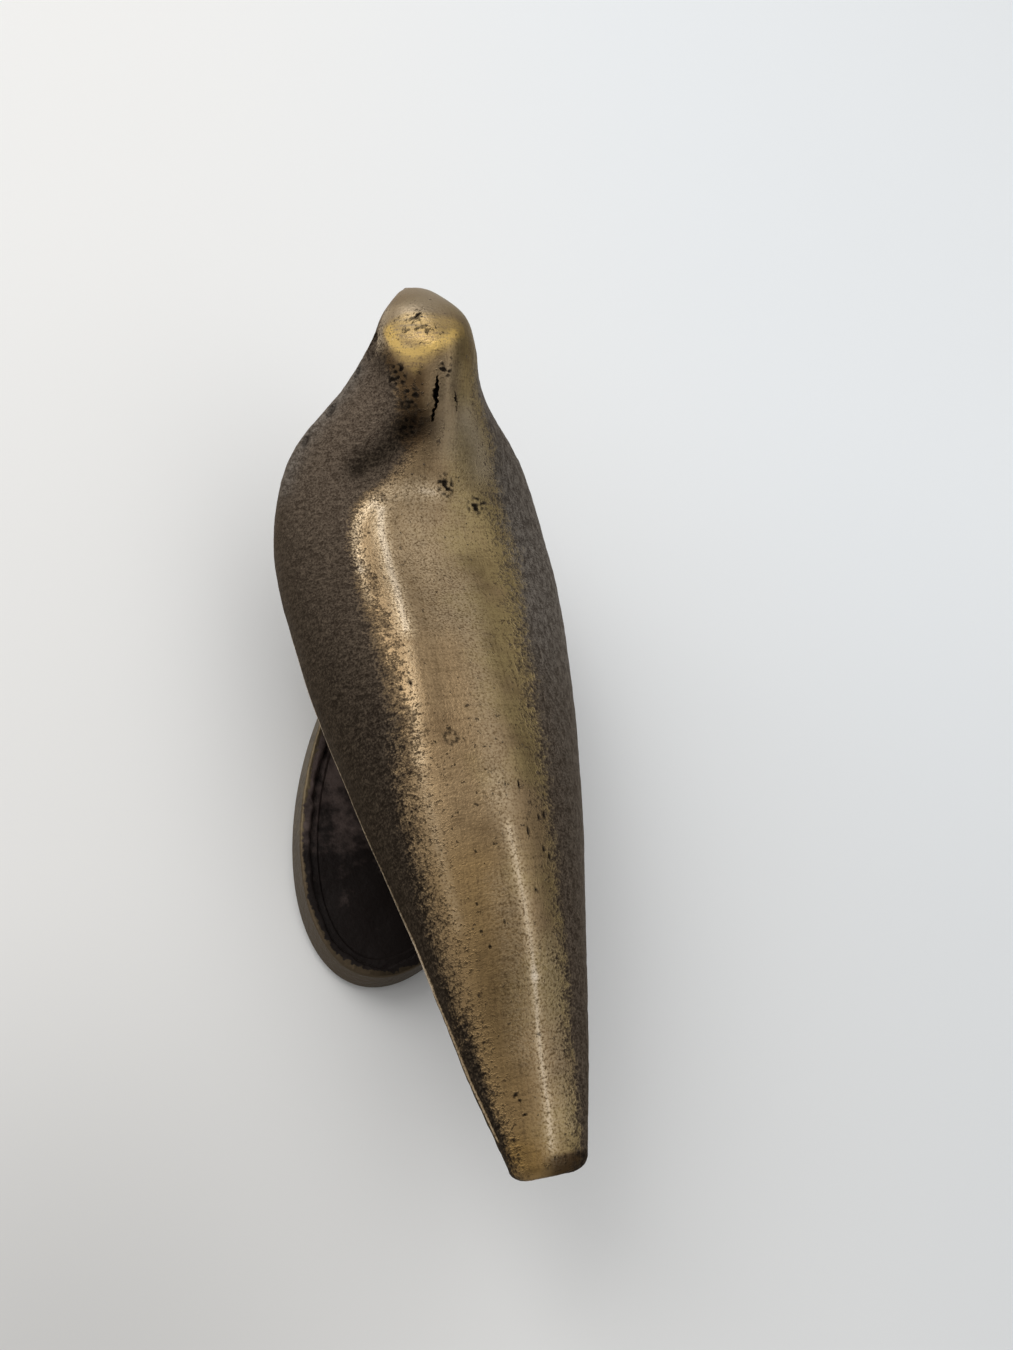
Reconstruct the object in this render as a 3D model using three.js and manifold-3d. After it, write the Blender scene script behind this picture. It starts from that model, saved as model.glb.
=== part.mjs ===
// Cast brass dove on a short turned stem and an oval dished foot.
//
// Millimetres. +Z is up, the tail points to +Y, the beak to -Y and the bird's left side to +X.
// The origin is on the table, on the axis of the screw that holds bird, stem and foot together.
// The bird is one sand casting: a full round breast, a flat-backed body that tapers to a blunt tail,
// a keeled nape and a small head with a short beak. Its underside meets the flanks in a sharp edge
// behind the breast. The foot is turned under the bird, as the single screw allows.

import * as THREE from 'three';
import { mergeVertices } from 'three/addons/utils/BufferGeometryUtils.js';
import Module from 'manifold-3d';

const wasm = await Module();
wasm.setup();

// Felt pad, glued under the foot
const FELT_THICKNESS = 1.0;
const FELT_INSET = 1.2;

// Oval foot casting, heights from its underside
const FOOT_LENGTH = 73.5;
const FOOT_WIDTH = 35.5;
const FOOT_HEIGHT = 4.2;
const FOOT_DRAFT = 0.5;
const FOOT_LOWER_CHAMFER = 0.4;
const FOOT_TURN_DEGREES = -24.2;
const RIM_WIDTH = 1.7;
const RIM_ROUND = 0.45;
const DISH_DEPTH = 1.5;
const DISH_LEDGE_WIDTH = 1.1;
const DISH_LEDGE_HEIGHT = 0.5;
const SEAT_RISE = 1.3;
const SEAT_MARGIN = 1.2;
const SEAT_FILLET = 1.1;

// Turned stem between foot and bird
const STEM_HEIGHT = 7.4;
const STEM_BASE_RADIUS = 6.4;
const STEM_WAIST_RADIUS = 4.3;
const STEM_TOP_RADIUS = 5.6;
const STEM_BAND = 0.8;
const STEM_SHOULDER = 0.4;
const STEM_STEP_IN = 0.45;
const SPIGOT_RADIUS = 3.9;
const SPIGOT_LENGTH = 1.2;

// Slotted screw and its split spring washer
const SCREW_RADIUS = 2.0;
const SCREW_HEAD_RADIUS = 3.5;
const SCREW_HEAD_HEIGHT = 1.7;
const SCREW_HEAD_CHAMFER = 0.5;
const SCREW_TIP_CHAMFER = 0.7;
const SCREW_SLOT_WIDTH = 1.0;
const SCREW_SLOT_DEPTH = 0.8;
const THREAD_ENGAGEMENT = 9.0;
const WASHER_THICKNESS = 0.7;
const WASHER_OUTER_RADIUS = 3.6;
const WASHER_SPLIT = 0.9;

// Clearances
const BORE_CLEARANCE = 0.25;
const HEAD_CLEARANCE = 0.4;
const HEAD_RECESS = 0.2;
const SPIGOT_CLEARANCE = 0.2;
const THREAD_END_CLEARANCE = 1.5;
const DRILL_POINT_DEPTH = 1.3;

// Boss cast under the belly, with the flat face that sits on the stem
const BOSS_MARGIN = 1.1;
const BOSS_WALL_HEIGHT = 0.5;
const BOSS_FLARE = 2.6;
const BOSS_FLARE_HEIGHT = 4.0;
const BOSS_ROOT = 3.5;

// Rounded rim of the tail's end face, its corners seen from above, and the beak's rounded tip
const TAIL_END_ROUND = 1.8;
const TAIL_CORNER_ROUND = 2.4;
const BEAK_TIP_ROUND = 0.6;

// Engraved eyes and the thumbnail cuts that run from each eye down to the breast
const EYE_LENGTH = 5.6;
const EYE_HEIGHT = 2.8;
const EYE_DEPTH = 0.7;
const EYEBALL_LENGTH = 2.9;
const EYEBALL_HEIGHT = 1.5;
const EYEBALL_RISE = 0.5;
const CUT_WIDTH = 3.0;
const CUT_THICKNESS = 1.1;
const CUT_TILT_DEGREES = 38;
const CUT_DEPTH = 0.7;

// Main sizes of the bird
const BODY_LENGTH = 130.2;
const BODY_WIDTH = 45.4;
const BODY_HEIGHT = 37.2;

// Sections of the bird from tail to beak. Each is a ring through its top and bottom points (y, z), as
// shares of BODY_LENGTH behind the stem's axis and of BODY_HEIGHT above the face of the belly boss.
// halfWidth, a share of BODY_WIDTH, is at the widest line, whose height is the share edge of the way
// up. pinch narrows the ring above that line towards its top. topPower and bottomPower are the powers
// of the two halves: 2 is round, more is square-shouldered.
const SECTIONS = [
  {
    at: 'tail end', top: [0.4758, 0.3387], bottom: [0.4758, 0.2258], halfWidth: 0.1145,
    edge: 0.30, pinch: 0.00, topPower: 3.0, bottomPower: 4.0,
  },
  {
    at: 'tail', top: [0.3802, 0.3978], bottom: [0.3879, 0.2258], halfWidth: 0.1850,
    edge: 0.20, pinch: 0.00, topPower: 2.4, bottomPower: 4.0,
  },
  {
    at: 'rump', top: [0.2573, 0.5538], bottom: [0.2727, 0.1989], halfWidth: 0.2555,
    edge: 0.17, pinch: 0.00, topPower: 2.1, bottomPower: 4.0,
  },
  {
    at: 'loin', top: [0.1190, 0.6183], bottom: [0.1190, 0.1317], halfWidth: 0.3568,
    edge: 0.20, pinch: 0.00, topPower: 2.1, bottomPower: 3.6,
  },
  {
    at: 'back', top: [-0.0307, 0.5887], bottom: [-0.0614, 0.0242], halfWidth: 0.4515,
    edge: 0.28, pinch: 0.00, topPower: 2.2, bottomPower: 3.0,
  },
  {
    at: 'shoulder', top: [-0.1728, 0.5161], bottom: [-0.2496, -0.0161], halfWidth: 0.5000,
    edge: 0.36, pinch: 0.04, topPower: 2.4, bottomPower: 2.4,
  },
  {
    at: 'nape', top: [-0.2650, 0.6425], bottom: [-0.3725, 0.1452], halfWidth: 0.4361,
    edge: 0.40, pinch: 0.34, topPower: 2.0, bottomPower: 2.2,
  },
  {
    at: 'neck', top: [-0.3187, 0.8575], bottom: [-0.4378, 0.3737], halfWidth: 0.2555,
    edge: 0.38, pinch: 0.36, topPower: 1.8, bottomPower: 2.1,
  },
  {
    at: 'crown', top: [-0.3687, 0.9704], bottom: [-0.4570, 0.5484], halfWidth: 0.1817,
    edge: 0.40, pinch: 0.16, topPower: 2.1, bottomPower: 2.0,
  },
  {
    at: 'brow', top: [-0.4240, 0.9516], bottom: [-0.4685, 0.6694], halfWidth: 0.1443,
    edge: 0.45, pinch: 0.04, topPower: 2.2, bottomPower: 2.0,
  },
  {
    at: 'beak root', top: [-0.4793, 0.8575], bottom: [-0.4839, 0.7204], halfWidth: 0.0837,
    edge: 0.50, pinch: 0.00, topPower: 2.0, bottomPower: 2.0,
  },
  {
    at: 'beak tip', top: [-0.5054, 0.7742], bottom: [-0.5069, 0.7366], halfWidth: 0.0352,
    edge: 0.50, pinch: 0.00, topPower: 2.0, bottomPower: 2.0,
  },
];

// Where the eye and the cuts sit: the place along SECTIONS, counted in sections from the tail, the
// angle round the ring in degrees up from the widest line, and the turn that lifts the mark's rear end
const EYE_PLACE = { along: 8.0, around: 4, turn: 22 };
const CUT_PLACES = [
  { along: 7.27, around: 4, turn: 25, length: 3.4 },
  { along: 6.62, around: 10, turn: 36, length: 4.2 },
  { along: 6.2, around: 11, turn: 38, length: 4.4 },
];

// Fineness of the faceted surfaces, and the step that finds a direction on the bird's skin
const RINGS_PER_SECTION = 5;
const RING_POINTS = 44;
const ROUND_STEPS = 3;
const TAIL_STEPS = 5;
const OVAL_POINTS = 60;
const TURNED_POINTS = 32;
const BALL_SEGMENTS = 16;
const STEM_STEPS = 8;
const SMALL_STEP = 0.02;

// Heights that follow from the sizes above
const FOOT_SEAT_HEIGHT = FOOT_HEIGHT - DISH_DEPTH + SEAT_RISE;
const COUNTERBORE_DEPTH = HEAD_RECESS + SCREW_HEAD_HEIGHT + WASHER_THICKNESS;
const FOOT_WEB = FOOT_SEAT_HEIGHT - COUNTERBORE_DEPTH;
const SCREW_HOLE_RADIUS = SCREW_RADIUS + BORE_CLEARANCE;
const BOSS_RADIUS = STEM_TOP_RADIUS + BOSS_MARGIN;
const SCREW_LENGTH = FOOT_WEB + WASHER_THICKNESS + STEM_HEIGHT + THREAD_ENGAGEMENT;

// Surface finishes, one material each
const patinatedBrass = new THREE.MeshStandardMaterial({ color: 0x8a7550, roughness: 0.42, metalness: 1.0 });
const darkFootBrass = new THREE.MeshStandardMaterial({ color: 0x4a3d33, roughness: 0.55, metalness: 0.9 });
const turnedBrass = new THREE.MeshStandardMaterial({ color: 0x7d6a46, roughness: 0.38, metalness: 1.0 });
const screwSteel = new THREE.MeshStandardMaterial({ color: 0x9a9a98, roughness: 0.35, metalness: 1.0 });
const springSteel = new THREE.MeshStandardMaterial({ color: 0x70706e, roughness: 0.45, metalness: 1.0 });
const greenFelt = new THREE.MeshStandardMaterial({ color: 0x2c3a2e, roughness: 1.0, metalness: 0.0 });

// Turns a closed geometry into a solid that can be cut and joined
function toSolid(geometry) {
  const bare = geometry.clone();
  bare.deleteAttribute('normal');
  bare.deleteAttribute('uv');
  const merged = mergeVertices(bare, 1e-4);
  const vertProperties = new Float32Array(merged.attributes.position.array);
  const triVerts = new Uint32Array(merged.index.array);
  return new wasm.Manifold(new wasm.Mesh({ numProp: 3, vertProperties, triVerts }));
}

// Turns a solid back into a named mesh
function toMesh(name, solid, material) {
  const result = solid.getMesh();
  const geometry = new THREE.BufferGeometry();
  geometry.setAttribute('position', new THREE.BufferAttribute(new Float32Array(result.vertProperties), 3));
  geometry.setIndex(new THREE.BufferAttribute(new Uint32Array(result.triVerts), 1));
  geometry.computeVertexNormals();
  const mesh = new THREE.Mesh(geometry, material);
  mesh.name = name;
  return mesh;
}

// A closed skin over rings of equal point counts, with a fan over each end
function skinRings(rings) {
  const count = rings[0].length;
  const positions = rings.flat().flatMap((point) => [point.x, point.y, point.z]);
  const index = [];
  for (let ring = 0; ring < rings.length - 1; ring += 1) {
    for (let i = 0; i < count; i += 1) {
      const next = (i + 1) % count;
      const a = ring * count + i;
      const b = ring * count + next;
      const c = a + count;
      const d = b + count;
      index.push(a, b, c, b, d, c);
    }
  }
  const addFan = (ring, forward) => {
    const centre = ring.reduce((sum, point) => sum.add(point), new THREE.Vector3()).divideScalar(count);
    const centreIndex = positions.length / 3;
    positions.push(centre.x, centre.y, centre.z);
    const first = rings.indexOf(ring) * count;
    for (let i = 0; i < count; i += 1) {
      const a = first + i;
      const b = first + ((i + 1) % count);
      index.push(...(forward ? [centreIndex, a, b] : [centreIndex, b, a]));
    }
  };
  addFan(rings[0], false);
  addFan(rings[rings.length - 1], true);
  const geometry = new THREE.BufferGeometry();
  geometry.setAttribute('position', new THREE.Float32BufferAttribute(positions, 3));
  geometry.setIndex(index);
  return geometry;
}

// A turned solid about the Z axis from a profile of [radius, height] points
function turned(profile) {
  const points = profile.map(([radius, height]) => new THREE.Vector2(radius, height));
  return toSolid(new THREE.LatheGeometry(points, TURNED_POINTS).rotateX(Math.PI / 2));
}

// A plain round cutter about the Z axis
function roundCutter(radius, low, high) {
  return turned([[0, low], [radius, low], [radius, high], [0, high]]);
}

// The angles of a quarter turn, in even steps from 0 to 90 degrees
function quarterTurn(steps = ROUND_STEPS) {
  return Array.from({ length: steps + 1 }, (_, step) => (step / steps) * (Math.PI / 2));
}

// A point of the middle plane from its shares of the bird's length and height
const inPlane = ([behind, above]) => [0, behind * BODY_LENGTH, above * BODY_HEIGHT];

// Smooth curves through the key sections
const through = (pick) => new THREE.CatmullRomCurve3(
  SECTIONS.map((section) => new THREE.Vector3(...pick(section))),
  false,
  'catmullrom',
  0.5,
);
const topLine = through((section) => inPlane(section.top));
const bottomLine = through((section) => inPlane(section.bottom));
const widthLine = through(({ halfWidth, edge, pinch }) => [halfWidth * BODY_WIDTH, edge, pinch]);
const powerLine = through((section) => [section.topPower, section.bottomPower, 0]);

// The section at a place along the bird, drawn in by inset at its top and bottom and by sideInset at
// its sides
function sectionAt(along, inset = 0, sideInset = inset) {
  const t = along / (SECTIONS.length - 1);
  const top = topLine.getPoint(t);
  const bottom = bottomLine.getPoint(t);
  const width = widthLine.getPoint(t);
  const power = powerLine.getPoint(t);
  const drawIn = top.clone().sub(bottom).setLength(inset);
  return {
    top: top.sub(drawIn),
    bottom: bottom.add(drawIn),
    halfWidth: width.x - sideInset,
    edge: width.y,
    pinch: Math.max(width.z, 0),
    topPower: power.x,
    bottomPower: power.y,
  };
}

// The point of a section at an angle from its widest line on the bird's left side
function pointOn(section, angle) {
  const c = Math.cos(angle);
  const s = Math.sin(angle);
  const exponent = 2 / (s > 0 ? section.topPower : section.bottomPower);
  const across = Math.sign(c) * Math.abs(c) ** exponent;
  const rise = Math.sign(s) * Math.abs(s) ** exponent;
  const narrowing = 1 - section.pinch * Math.max(rise, 0) ** 1.5;
  const share = rise > 0 ? section.edge + (1 - section.edge) * rise : section.edge * (1 + rise);
  const point = section.bottom.clone().lerp(section.top, share);
  point.x = section.halfWidth * across * narrowing;
  return point;
}

function ringOf(section, shift = 0) {
  return Array.from({ length: RING_POINTS }, (_, i) => {
    const point = pointOn(section, (2 * Math.PI * i) / RING_POINTS);
    point.y += shift;
    return point;
  });
}

// The bird's skin: a rounded tail end, the rings along the body, and a rounded beak tip
function birdSkin() {
  const last = SECTIONS.length - 1;
  const rings = [];
  for (const turn of quarterTurn(TAIL_STEPS).slice(1).reverse()) {
    const drawIn = 1 - Math.cos(turn);
    const section = sectionAt(0, TAIL_END_ROUND * drawIn, TAIL_CORNER_ROUND * drawIn);
    rings.push(ringOf(section, TAIL_END_ROUND * Math.sin(turn)));
  }
  for (let step = 0; step <= last * RINGS_PER_SECTION; step += 1) {
    rings.push(ringOf(sectionAt(step / RINGS_PER_SECTION)));
  }
  for (const turn of quarterTurn(ROUND_STEPS + 1).slice(1, -1)) {
    const section = sectionAt(last, BEAK_TIP_ROUND * (1 - Math.cos(turn)));
    rings.push(ringOf(section, -BEAK_TIP_ROUND * Math.sin(turn)));
  }
  return toSolid(skinRings(rings));
}

// The boss under the belly, flared into the casting
function bellyBoss() {
  const flare = quarterTurn().map((turn) => [
    BOSS_RADIUS + BOSS_FLARE * (1 - Math.cos(turn)),
    BOSS_WALL_HEIGHT + BOSS_FLARE_HEIGHT * Math.sin(turn),
  ]);
  const rootHeight = BOSS_WALL_HEIGHT + BOSS_FLARE_HEIGHT + BOSS_ROOT;
  return turned([
    [0, 0],
    [BOSS_RADIUS, 0],
    ...flare,
    [BOSS_RADIUS + BOSS_FLARE, rootHeight],
    [0, rootHeight],
  ]);
}

// The tapped hole, drilled to a point, and the socket for the stem's spigot
function bossHoles() {
  const depth = THREAD_ENGAGEMENT + THREAD_END_CLEARANCE;
  const socketRadius = SPIGOT_RADIUS + SPIGOT_CLEARANCE;
  const socketDepth = SPIGOT_LENGTH + SPIGOT_CLEARANCE;
  return turned([
    [0, -1],
    [socketRadius, -1],
    [socketRadius, socketDepth],
    [SCREW_HOLE_RADIUS, socketDepth],
    [SCREW_HOLE_RADIUS, depth],
    [0, depth + DRILL_POINT_DEPTH],
  ]);
}

// A frame on the bird's skin: x along the body to the tail, y across the ring (up on the bird's left
// side, down on its right), z out of the metal
function skinFrame({ along, around, turn }, side) {
  const angle = THREE.MathUtils.degToRad(around);
  const here = pointOn(sectionAt(along), angle);
  const tailward = pointOn(sectionAt(along - SMALL_STEP), angle).sub(here).normalize();
  const upward = pointOn(sectionAt(along), angle + SMALL_STEP).sub(here).normalize();
  const outward = new THREE.Vector3().crossVectors(tailward, upward).normalize();
  const x = tailward.applyAxisAngle(outward, THREE.MathUtils.degToRad(turn));
  [here, x, outward].forEach((vector) => { vector.x *= side; });
  const y = new THREE.Vector3().crossVectors(outward, x).normalize();
  return new THREE.Matrix4().makeBasis(x, y, outward).setPosition(here);
}

// An ellipsoid with its length along x, tipped about x and lifted along z, placed by a skin frame
function ellipsoid(frame, length, height, halfDepth, lift, tip = 0) {
  const ball = new THREE.SphereGeometry(1, BALL_SEGMENTS, BALL_SEGMENTS / 2);
  ball.rotateZ(Math.PI / 2);
  ball.scale(length / 2, height / 2, halfDepth);
  ball.rotateX(tip);
  ball.translate(0, 0, lift);
  return toSolid(ball.applyMatrix4(frame));
}

// A dished almond with the eyeball left standing in it
function engraveEye(bird, side) {
  const frame = skinFrame(EYE_PLACE, side);
  const dish = ellipsoid(frame, EYE_LENGTH, EYE_HEIGHT, EYE_DEPTH * 2, EYE_DEPTH);
  const eyeball = ellipsoid(frame, EYEBALL_LENGTH, EYEBALL_HEIGHT, EYEBALL_RISE, -EYE_DEPTH);
  return bird.subtract(dish.subtract(eyeball));
}

// A thumbnail cut: a tipped lens that bites steeply on its lower side and runs out on its upper side
function thumbnailCut(place, side) {
  const tip = THREE.MathUtils.degToRad(CUT_TILT_DEGREES);
  const reach = Math.hypot((CUT_WIDTH / 2) * Math.sin(tip), (CUT_THICKNESS / 2) * Math.cos(tip));
  const frame = skinFrame(place, side);
  return ellipsoid(frame, place.length, CUT_WIDTH, CUT_THICKNESS / 2, reach - CUT_DEPTH, side * tip);
}

function birdCasting() {
  let bird = birdSkin().add(bellyBoss()).subtract(bossHoles());
  for (const side of [1, -1]) {
    bird = engraveEye(bird, side);
    for (const place of CUT_PLACES) {
      bird = bird.subtract(thumbnailCut(place, side));
    }
  }
  return toMesh('bird_casting', bird, patinatedBrass);
}

// A ring of the foot's oval, drawn in by inset, at a height
function ovalRing(inset, height) {
  return Array.from({ length: OVAL_POINTS }, (_, i) => {
    const angle = (2 * Math.PI * i) / OVAL_POINTS;
    const x = (FOOT_WIDTH / 2 - inset) * Math.cos(angle);
    const y = (FOOT_LENGTH / 2 - inset) * Math.sin(angle);
    return new THREE.Vector3(x, y, height);
  });
}

// The foot: drafted wall, rounded rim, a ledge inside it and a flat dished floor
function footCasting() {
  const rimIn = FOOT_DRAFT + RIM_WIDTH;
  const floor = FOOT_HEIGHT - DISH_DEPTH;
  const ledge = floor + DISH_LEDGE_HEIGHT;
  const rimRound = quarterTurn().map((turn) => [
    RIM_ROUND * (1 - Math.cos(turn)),
    FOOT_HEIGHT - RIM_ROUND * (1 - Math.sin(turn)),
  ]);
  const section = [
    [FOOT_LOWER_CHAMFER, 0],
    [0, FOOT_LOWER_CHAMFER],
    ...rimRound.map(([inset, height]) => [FOOT_DRAFT + inset, height]),
    ...rimRound.reverse().map(([inset, height]) => [rimIn - inset, height]),
    [rimIn + DISH_LEDGE_HEIGHT / 2, ledge],
    [rimIn + DISH_LEDGE_WIDTH, ledge],
    [rimIn + DISH_LEDGE_WIDTH + DISH_LEDGE_HEIGHT, floor],
  ];
  const plate = toSolid(skinRings(section.map(([inset, height]) => ovalRing(inset, height))));
  const seatRadius = STEM_BASE_RADIUS + SEAT_MARGIN;
  const fillet = quarterTurn().map((turn) => [
    seatRadius + SEAT_FILLET * (1 - Math.sin(turn)),
    floor + SEAT_RISE * (1 - Math.cos(turn)),
  ]);
  const seat = turned([
    [0, floor / 2],
    [seatRadius + SEAT_FILLET, floor / 2],
    ...fillet,
    [0, FOOT_SEAT_HEIGHT],
  ]);
  const foot = plate
    .add(seat)
    .subtract(roundCutter(SCREW_HEAD_RADIUS + HEAD_CLEARANCE, -1, COUNTERBORE_DEPTH))
    .subtract(roundCutter(SCREW_HOLE_RADIUS, 0, FOOT_SEAT_HEIGHT + 1));
  return toMesh('foot_casting', foot, darkFootBrass);
}

// The stem: a band at each end, a hollow waist between them, bored through for the screw, with a
// spigot that enters the bird's boss
function stem() {
  const waist = Array.from({ length: STEM_STEPS + 1 }, (_, step) => {
    const t = step / STEM_STEPS;
    const rim = THREE.MathUtils.lerp(STEM_BASE_RADIUS, STEM_TOP_RADIUS, t) - STEM_STEP_IN;
    const low = STEM_BAND + STEM_SHOULDER;
    return [
      THREE.MathUtils.lerp(rim, STEM_WAIST_RADIUS, Math.sin(Math.PI * t)),
      THREE.MathUtils.lerp(low, STEM_HEIGHT - low, t),
    ];
  });
  const profile = [
    [SCREW_HOLE_RADIUS, 0],
    [STEM_BASE_RADIUS, 0],
    [STEM_BASE_RADIUS, STEM_BAND],
    ...waist,
    [STEM_TOP_RADIUS, STEM_HEIGHT - STEM_BAND],
    [STEM_TOP_RADIUS, STEM_HEIGHT],
    [SPIGOT_RADIUS, STEM_HEIGHT],
    [SPIGOT_RADIUS, STEM_HEIGHT + SPIGOT_LENGTH],
    [SCREW_HOLE_RADIUS, STEM_HEIGHT + SPIGOT_LENGTH],
    [SCREW_HOLE_RADIUS, 0],
  ];
  return toMesh('stem', turned(profile), turnedBrass);
}

// The screw, head down, with its driver slot
function fixingScrew() {
  const tip = SCREW_HEAD_HEIGHT + SCREW_LENGTH;
  const body = turned([
    [0, 0],
    [SCREW_HEAD_RADIUS - SCREW_HEAD_CHAMFER, 0],
    [SCREW_HEAD_RADIUS, SCREW_HEAD_CHAMFER],
    [SCREW_HEAD_RADIUS, SCREW_HEAD_HEIGHT],
    [SCREW_RADIUS, SCREW_HEAD_HEIGHT],
    [SCREW_RADIUS, tip - SCREW_TIP_CHAMFER],
    [SCREW_RADIUS - SCREW_TIP_CHAMFER, tip],
    [0, tip],
  ]);
  const slot = new THREE.BoxGeometry(SCREW_HEAD_RADIUS * 3, SCREW_SLOT_WIDTH, SCREW_SLOT_DEPTH * 2);
  return toMesh('fixing_screw', body.subtract(toSolid(slot)), screwSteel);
}

// The split spring washer between the screw head and the foot
function springWasher() {
  const inner = SCREW_RADIUS + BORE_CLEARANCE;
  const ring = turned([
    [inner, 0],
    [WASHER_OUTER_RADIUS, 0],
    [WASHER_OUTER_RADIUS, WASHER_THICKNESS],
    [inner, WASHER_THICKNESS],
    [inner, 0],
  ]);
  const split = new THREE.BoxGeometry(WASHER_OUTER_RADIUS * 2, WASHER_SPLIT, WASHER_THICKNESS * 3);
  split.translate(WASHER_OUTER_RADIUS, 0, 0);
  return toMesh('spring_washer', ring.subtract(toSolid(split)), springSteel);
}

// The felt, cut a little smaller than the foot
function feltPad() {
  const outline = new THREE.Shape();
  outline.absellipse(0, 0, FOOT_WIDTH / 2 - FELT_INSET, FOOT_LENGTH / 2 - FELT_INSET, 0, 2 * Math.PI);
  const options = { depth: FELT_THICKNESS, bevelEnabled: false, curveSegments: OVAL_POINTS };
  return toMesh('felt_pad', toSolid(new THREE.ExtrudeGeometry(outline, options)), greenFelt);
}

// Assembly, from the table up
const dove = new THREE.Group();

const base = new THREE.Group();
base.rotation.z = THREE.MathUtils.degToRad(FOOT_TURN_DEGREES);
base.add(feltPad());

const aboveFelt = new THREE.Group();
aboveFelt.position.z = FELT_THICKNESS;
const screw = fixingScrew();
screw.position.z = HEAD_RECESS;
const washer = springWasher();
washer.position.z = HEAD_RECESS + SCREW_HEAD_HEIGHT;
aboveFelt.add(footCasting(), screw, washer);
base.add(aboveFelt);

const stemPiece = stem();
stemPiece.position.z = FELT_THICKNESS + FOOT_SEAT_HEIGHT;
const bird = birdCasting();
bird.position.z = FELT_THICKNESS + FOOT_SEAT_HEIGHT + STEM_HEIGHT;
dove.add(base, stemPiece, bird);

export default dove;
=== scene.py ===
"""A cast brass dove on a short turned stem and an oval dished foot.

The bird is one sand casting: its back and crown are worn to satin brass, its flanks keep the dark
skin of the mould. Sizes in the classes are in millimetres, heights of the bird from the flat face
of its belly boss, heights of the foot from its underside. Meshes are in metres.
"""

import logging
import math
from dataclasses import dataclass, replace
from enum import Enum
from typing import Callable, Iterable, NamedTuple, Sequence

import bmesh
import bpy
import numpy as np
from mathutils import Euler, Matrix, Vector


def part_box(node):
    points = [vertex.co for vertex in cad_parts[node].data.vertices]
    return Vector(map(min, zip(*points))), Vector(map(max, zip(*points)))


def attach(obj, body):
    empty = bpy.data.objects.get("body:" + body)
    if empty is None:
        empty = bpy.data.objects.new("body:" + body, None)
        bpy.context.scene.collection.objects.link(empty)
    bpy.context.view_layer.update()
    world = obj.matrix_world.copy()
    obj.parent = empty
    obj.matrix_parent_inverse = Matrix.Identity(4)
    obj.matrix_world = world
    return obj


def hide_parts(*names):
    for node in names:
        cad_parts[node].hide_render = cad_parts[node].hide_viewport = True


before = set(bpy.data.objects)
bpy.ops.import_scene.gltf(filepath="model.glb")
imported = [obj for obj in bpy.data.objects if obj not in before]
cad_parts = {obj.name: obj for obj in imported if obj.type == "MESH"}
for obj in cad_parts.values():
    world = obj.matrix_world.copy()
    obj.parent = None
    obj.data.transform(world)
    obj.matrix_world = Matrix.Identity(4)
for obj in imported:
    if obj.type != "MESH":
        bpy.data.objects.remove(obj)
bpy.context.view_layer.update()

MM = 0.001
MERGE_GAP = 1e-7
SMOOTH_BELOW = math.radians(35)
WHOLE_BAND = 0.99
OVAL_POINTS = 240
OUTER_STEPS = 96
HOLE_STEPS = 64
STEM_STEPS = 128
BELOW_FACE = -1.0
LOG = logging.getLogger("dove")

Array = np.ndarray
Piece = bpy.types.Object
Point2 = tuple[float, float]
Table = tuple[Point2, ...]
Colour = tuple[float, float, float]


# Mesh helpers


def lone(piece: Piece) -> None:
    """Makes a piece the only selected object, and the active one.

    Args:
        piece: The piece to work on.
    """
    bpy.ops.object.select_all(action="DESELECT")
    piece.select_set(True)
    bpy.context.view_layer.objects.active = piece


def read(rows: Sequence, field: str = "co", parts: int = 3) -> Array:
    """Reads a field of vertices, or of an attribute.

    Args:
        rows: The vertices, or the attribute's data.
        field: The field's name.
        parts: How many numbers a row has.

    Returns:
        The numbers, row by row.
    """
    flat = np.zeros(len(rows) * parts, np.float32)
    rows.foreach_get(field, flat)
    return flat.reshape(-1, parts).astype(float)


def points_of(piece: Piece) -> Array:
    """A piece's vertices, in millimetres."""
    return read(piece.data.vertices) / MM


def move(piece: Piece, points: Array) -> None:
    """Moves a piece's vertices to points in millimetres."""
    piece.data.vertices.foreach_set("co", (points * MM).astype(np.float32).ravel())
    piece.data.update()


def push_in(piece: Piece, depth: Array) -> None:
    """Moves each vertex inwards along its normal, by a depth in millimetres."""
    move(piece, points_of(piece) - read(piece.data.vertices, "normal") * depth[:, None])


def paint(piece: Piece, name: str, values: Array) -> None:
    """Stores a value or a vector at each vertex, for the finish to read.

    Args:
        piece: The piece.
        name: The attribute's name.
        values: One number or one row of three for each vertex.
    """
    kind, field = ("FLOAT", "value") if values.ndim == 1 else ("FLOAT_VECTOR", "vector")
    layer = piece.data.attributes.new(name, kind, "POINT")
    layer.data.foreach_set(field, values.astype(np.float32).ravel())


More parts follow.
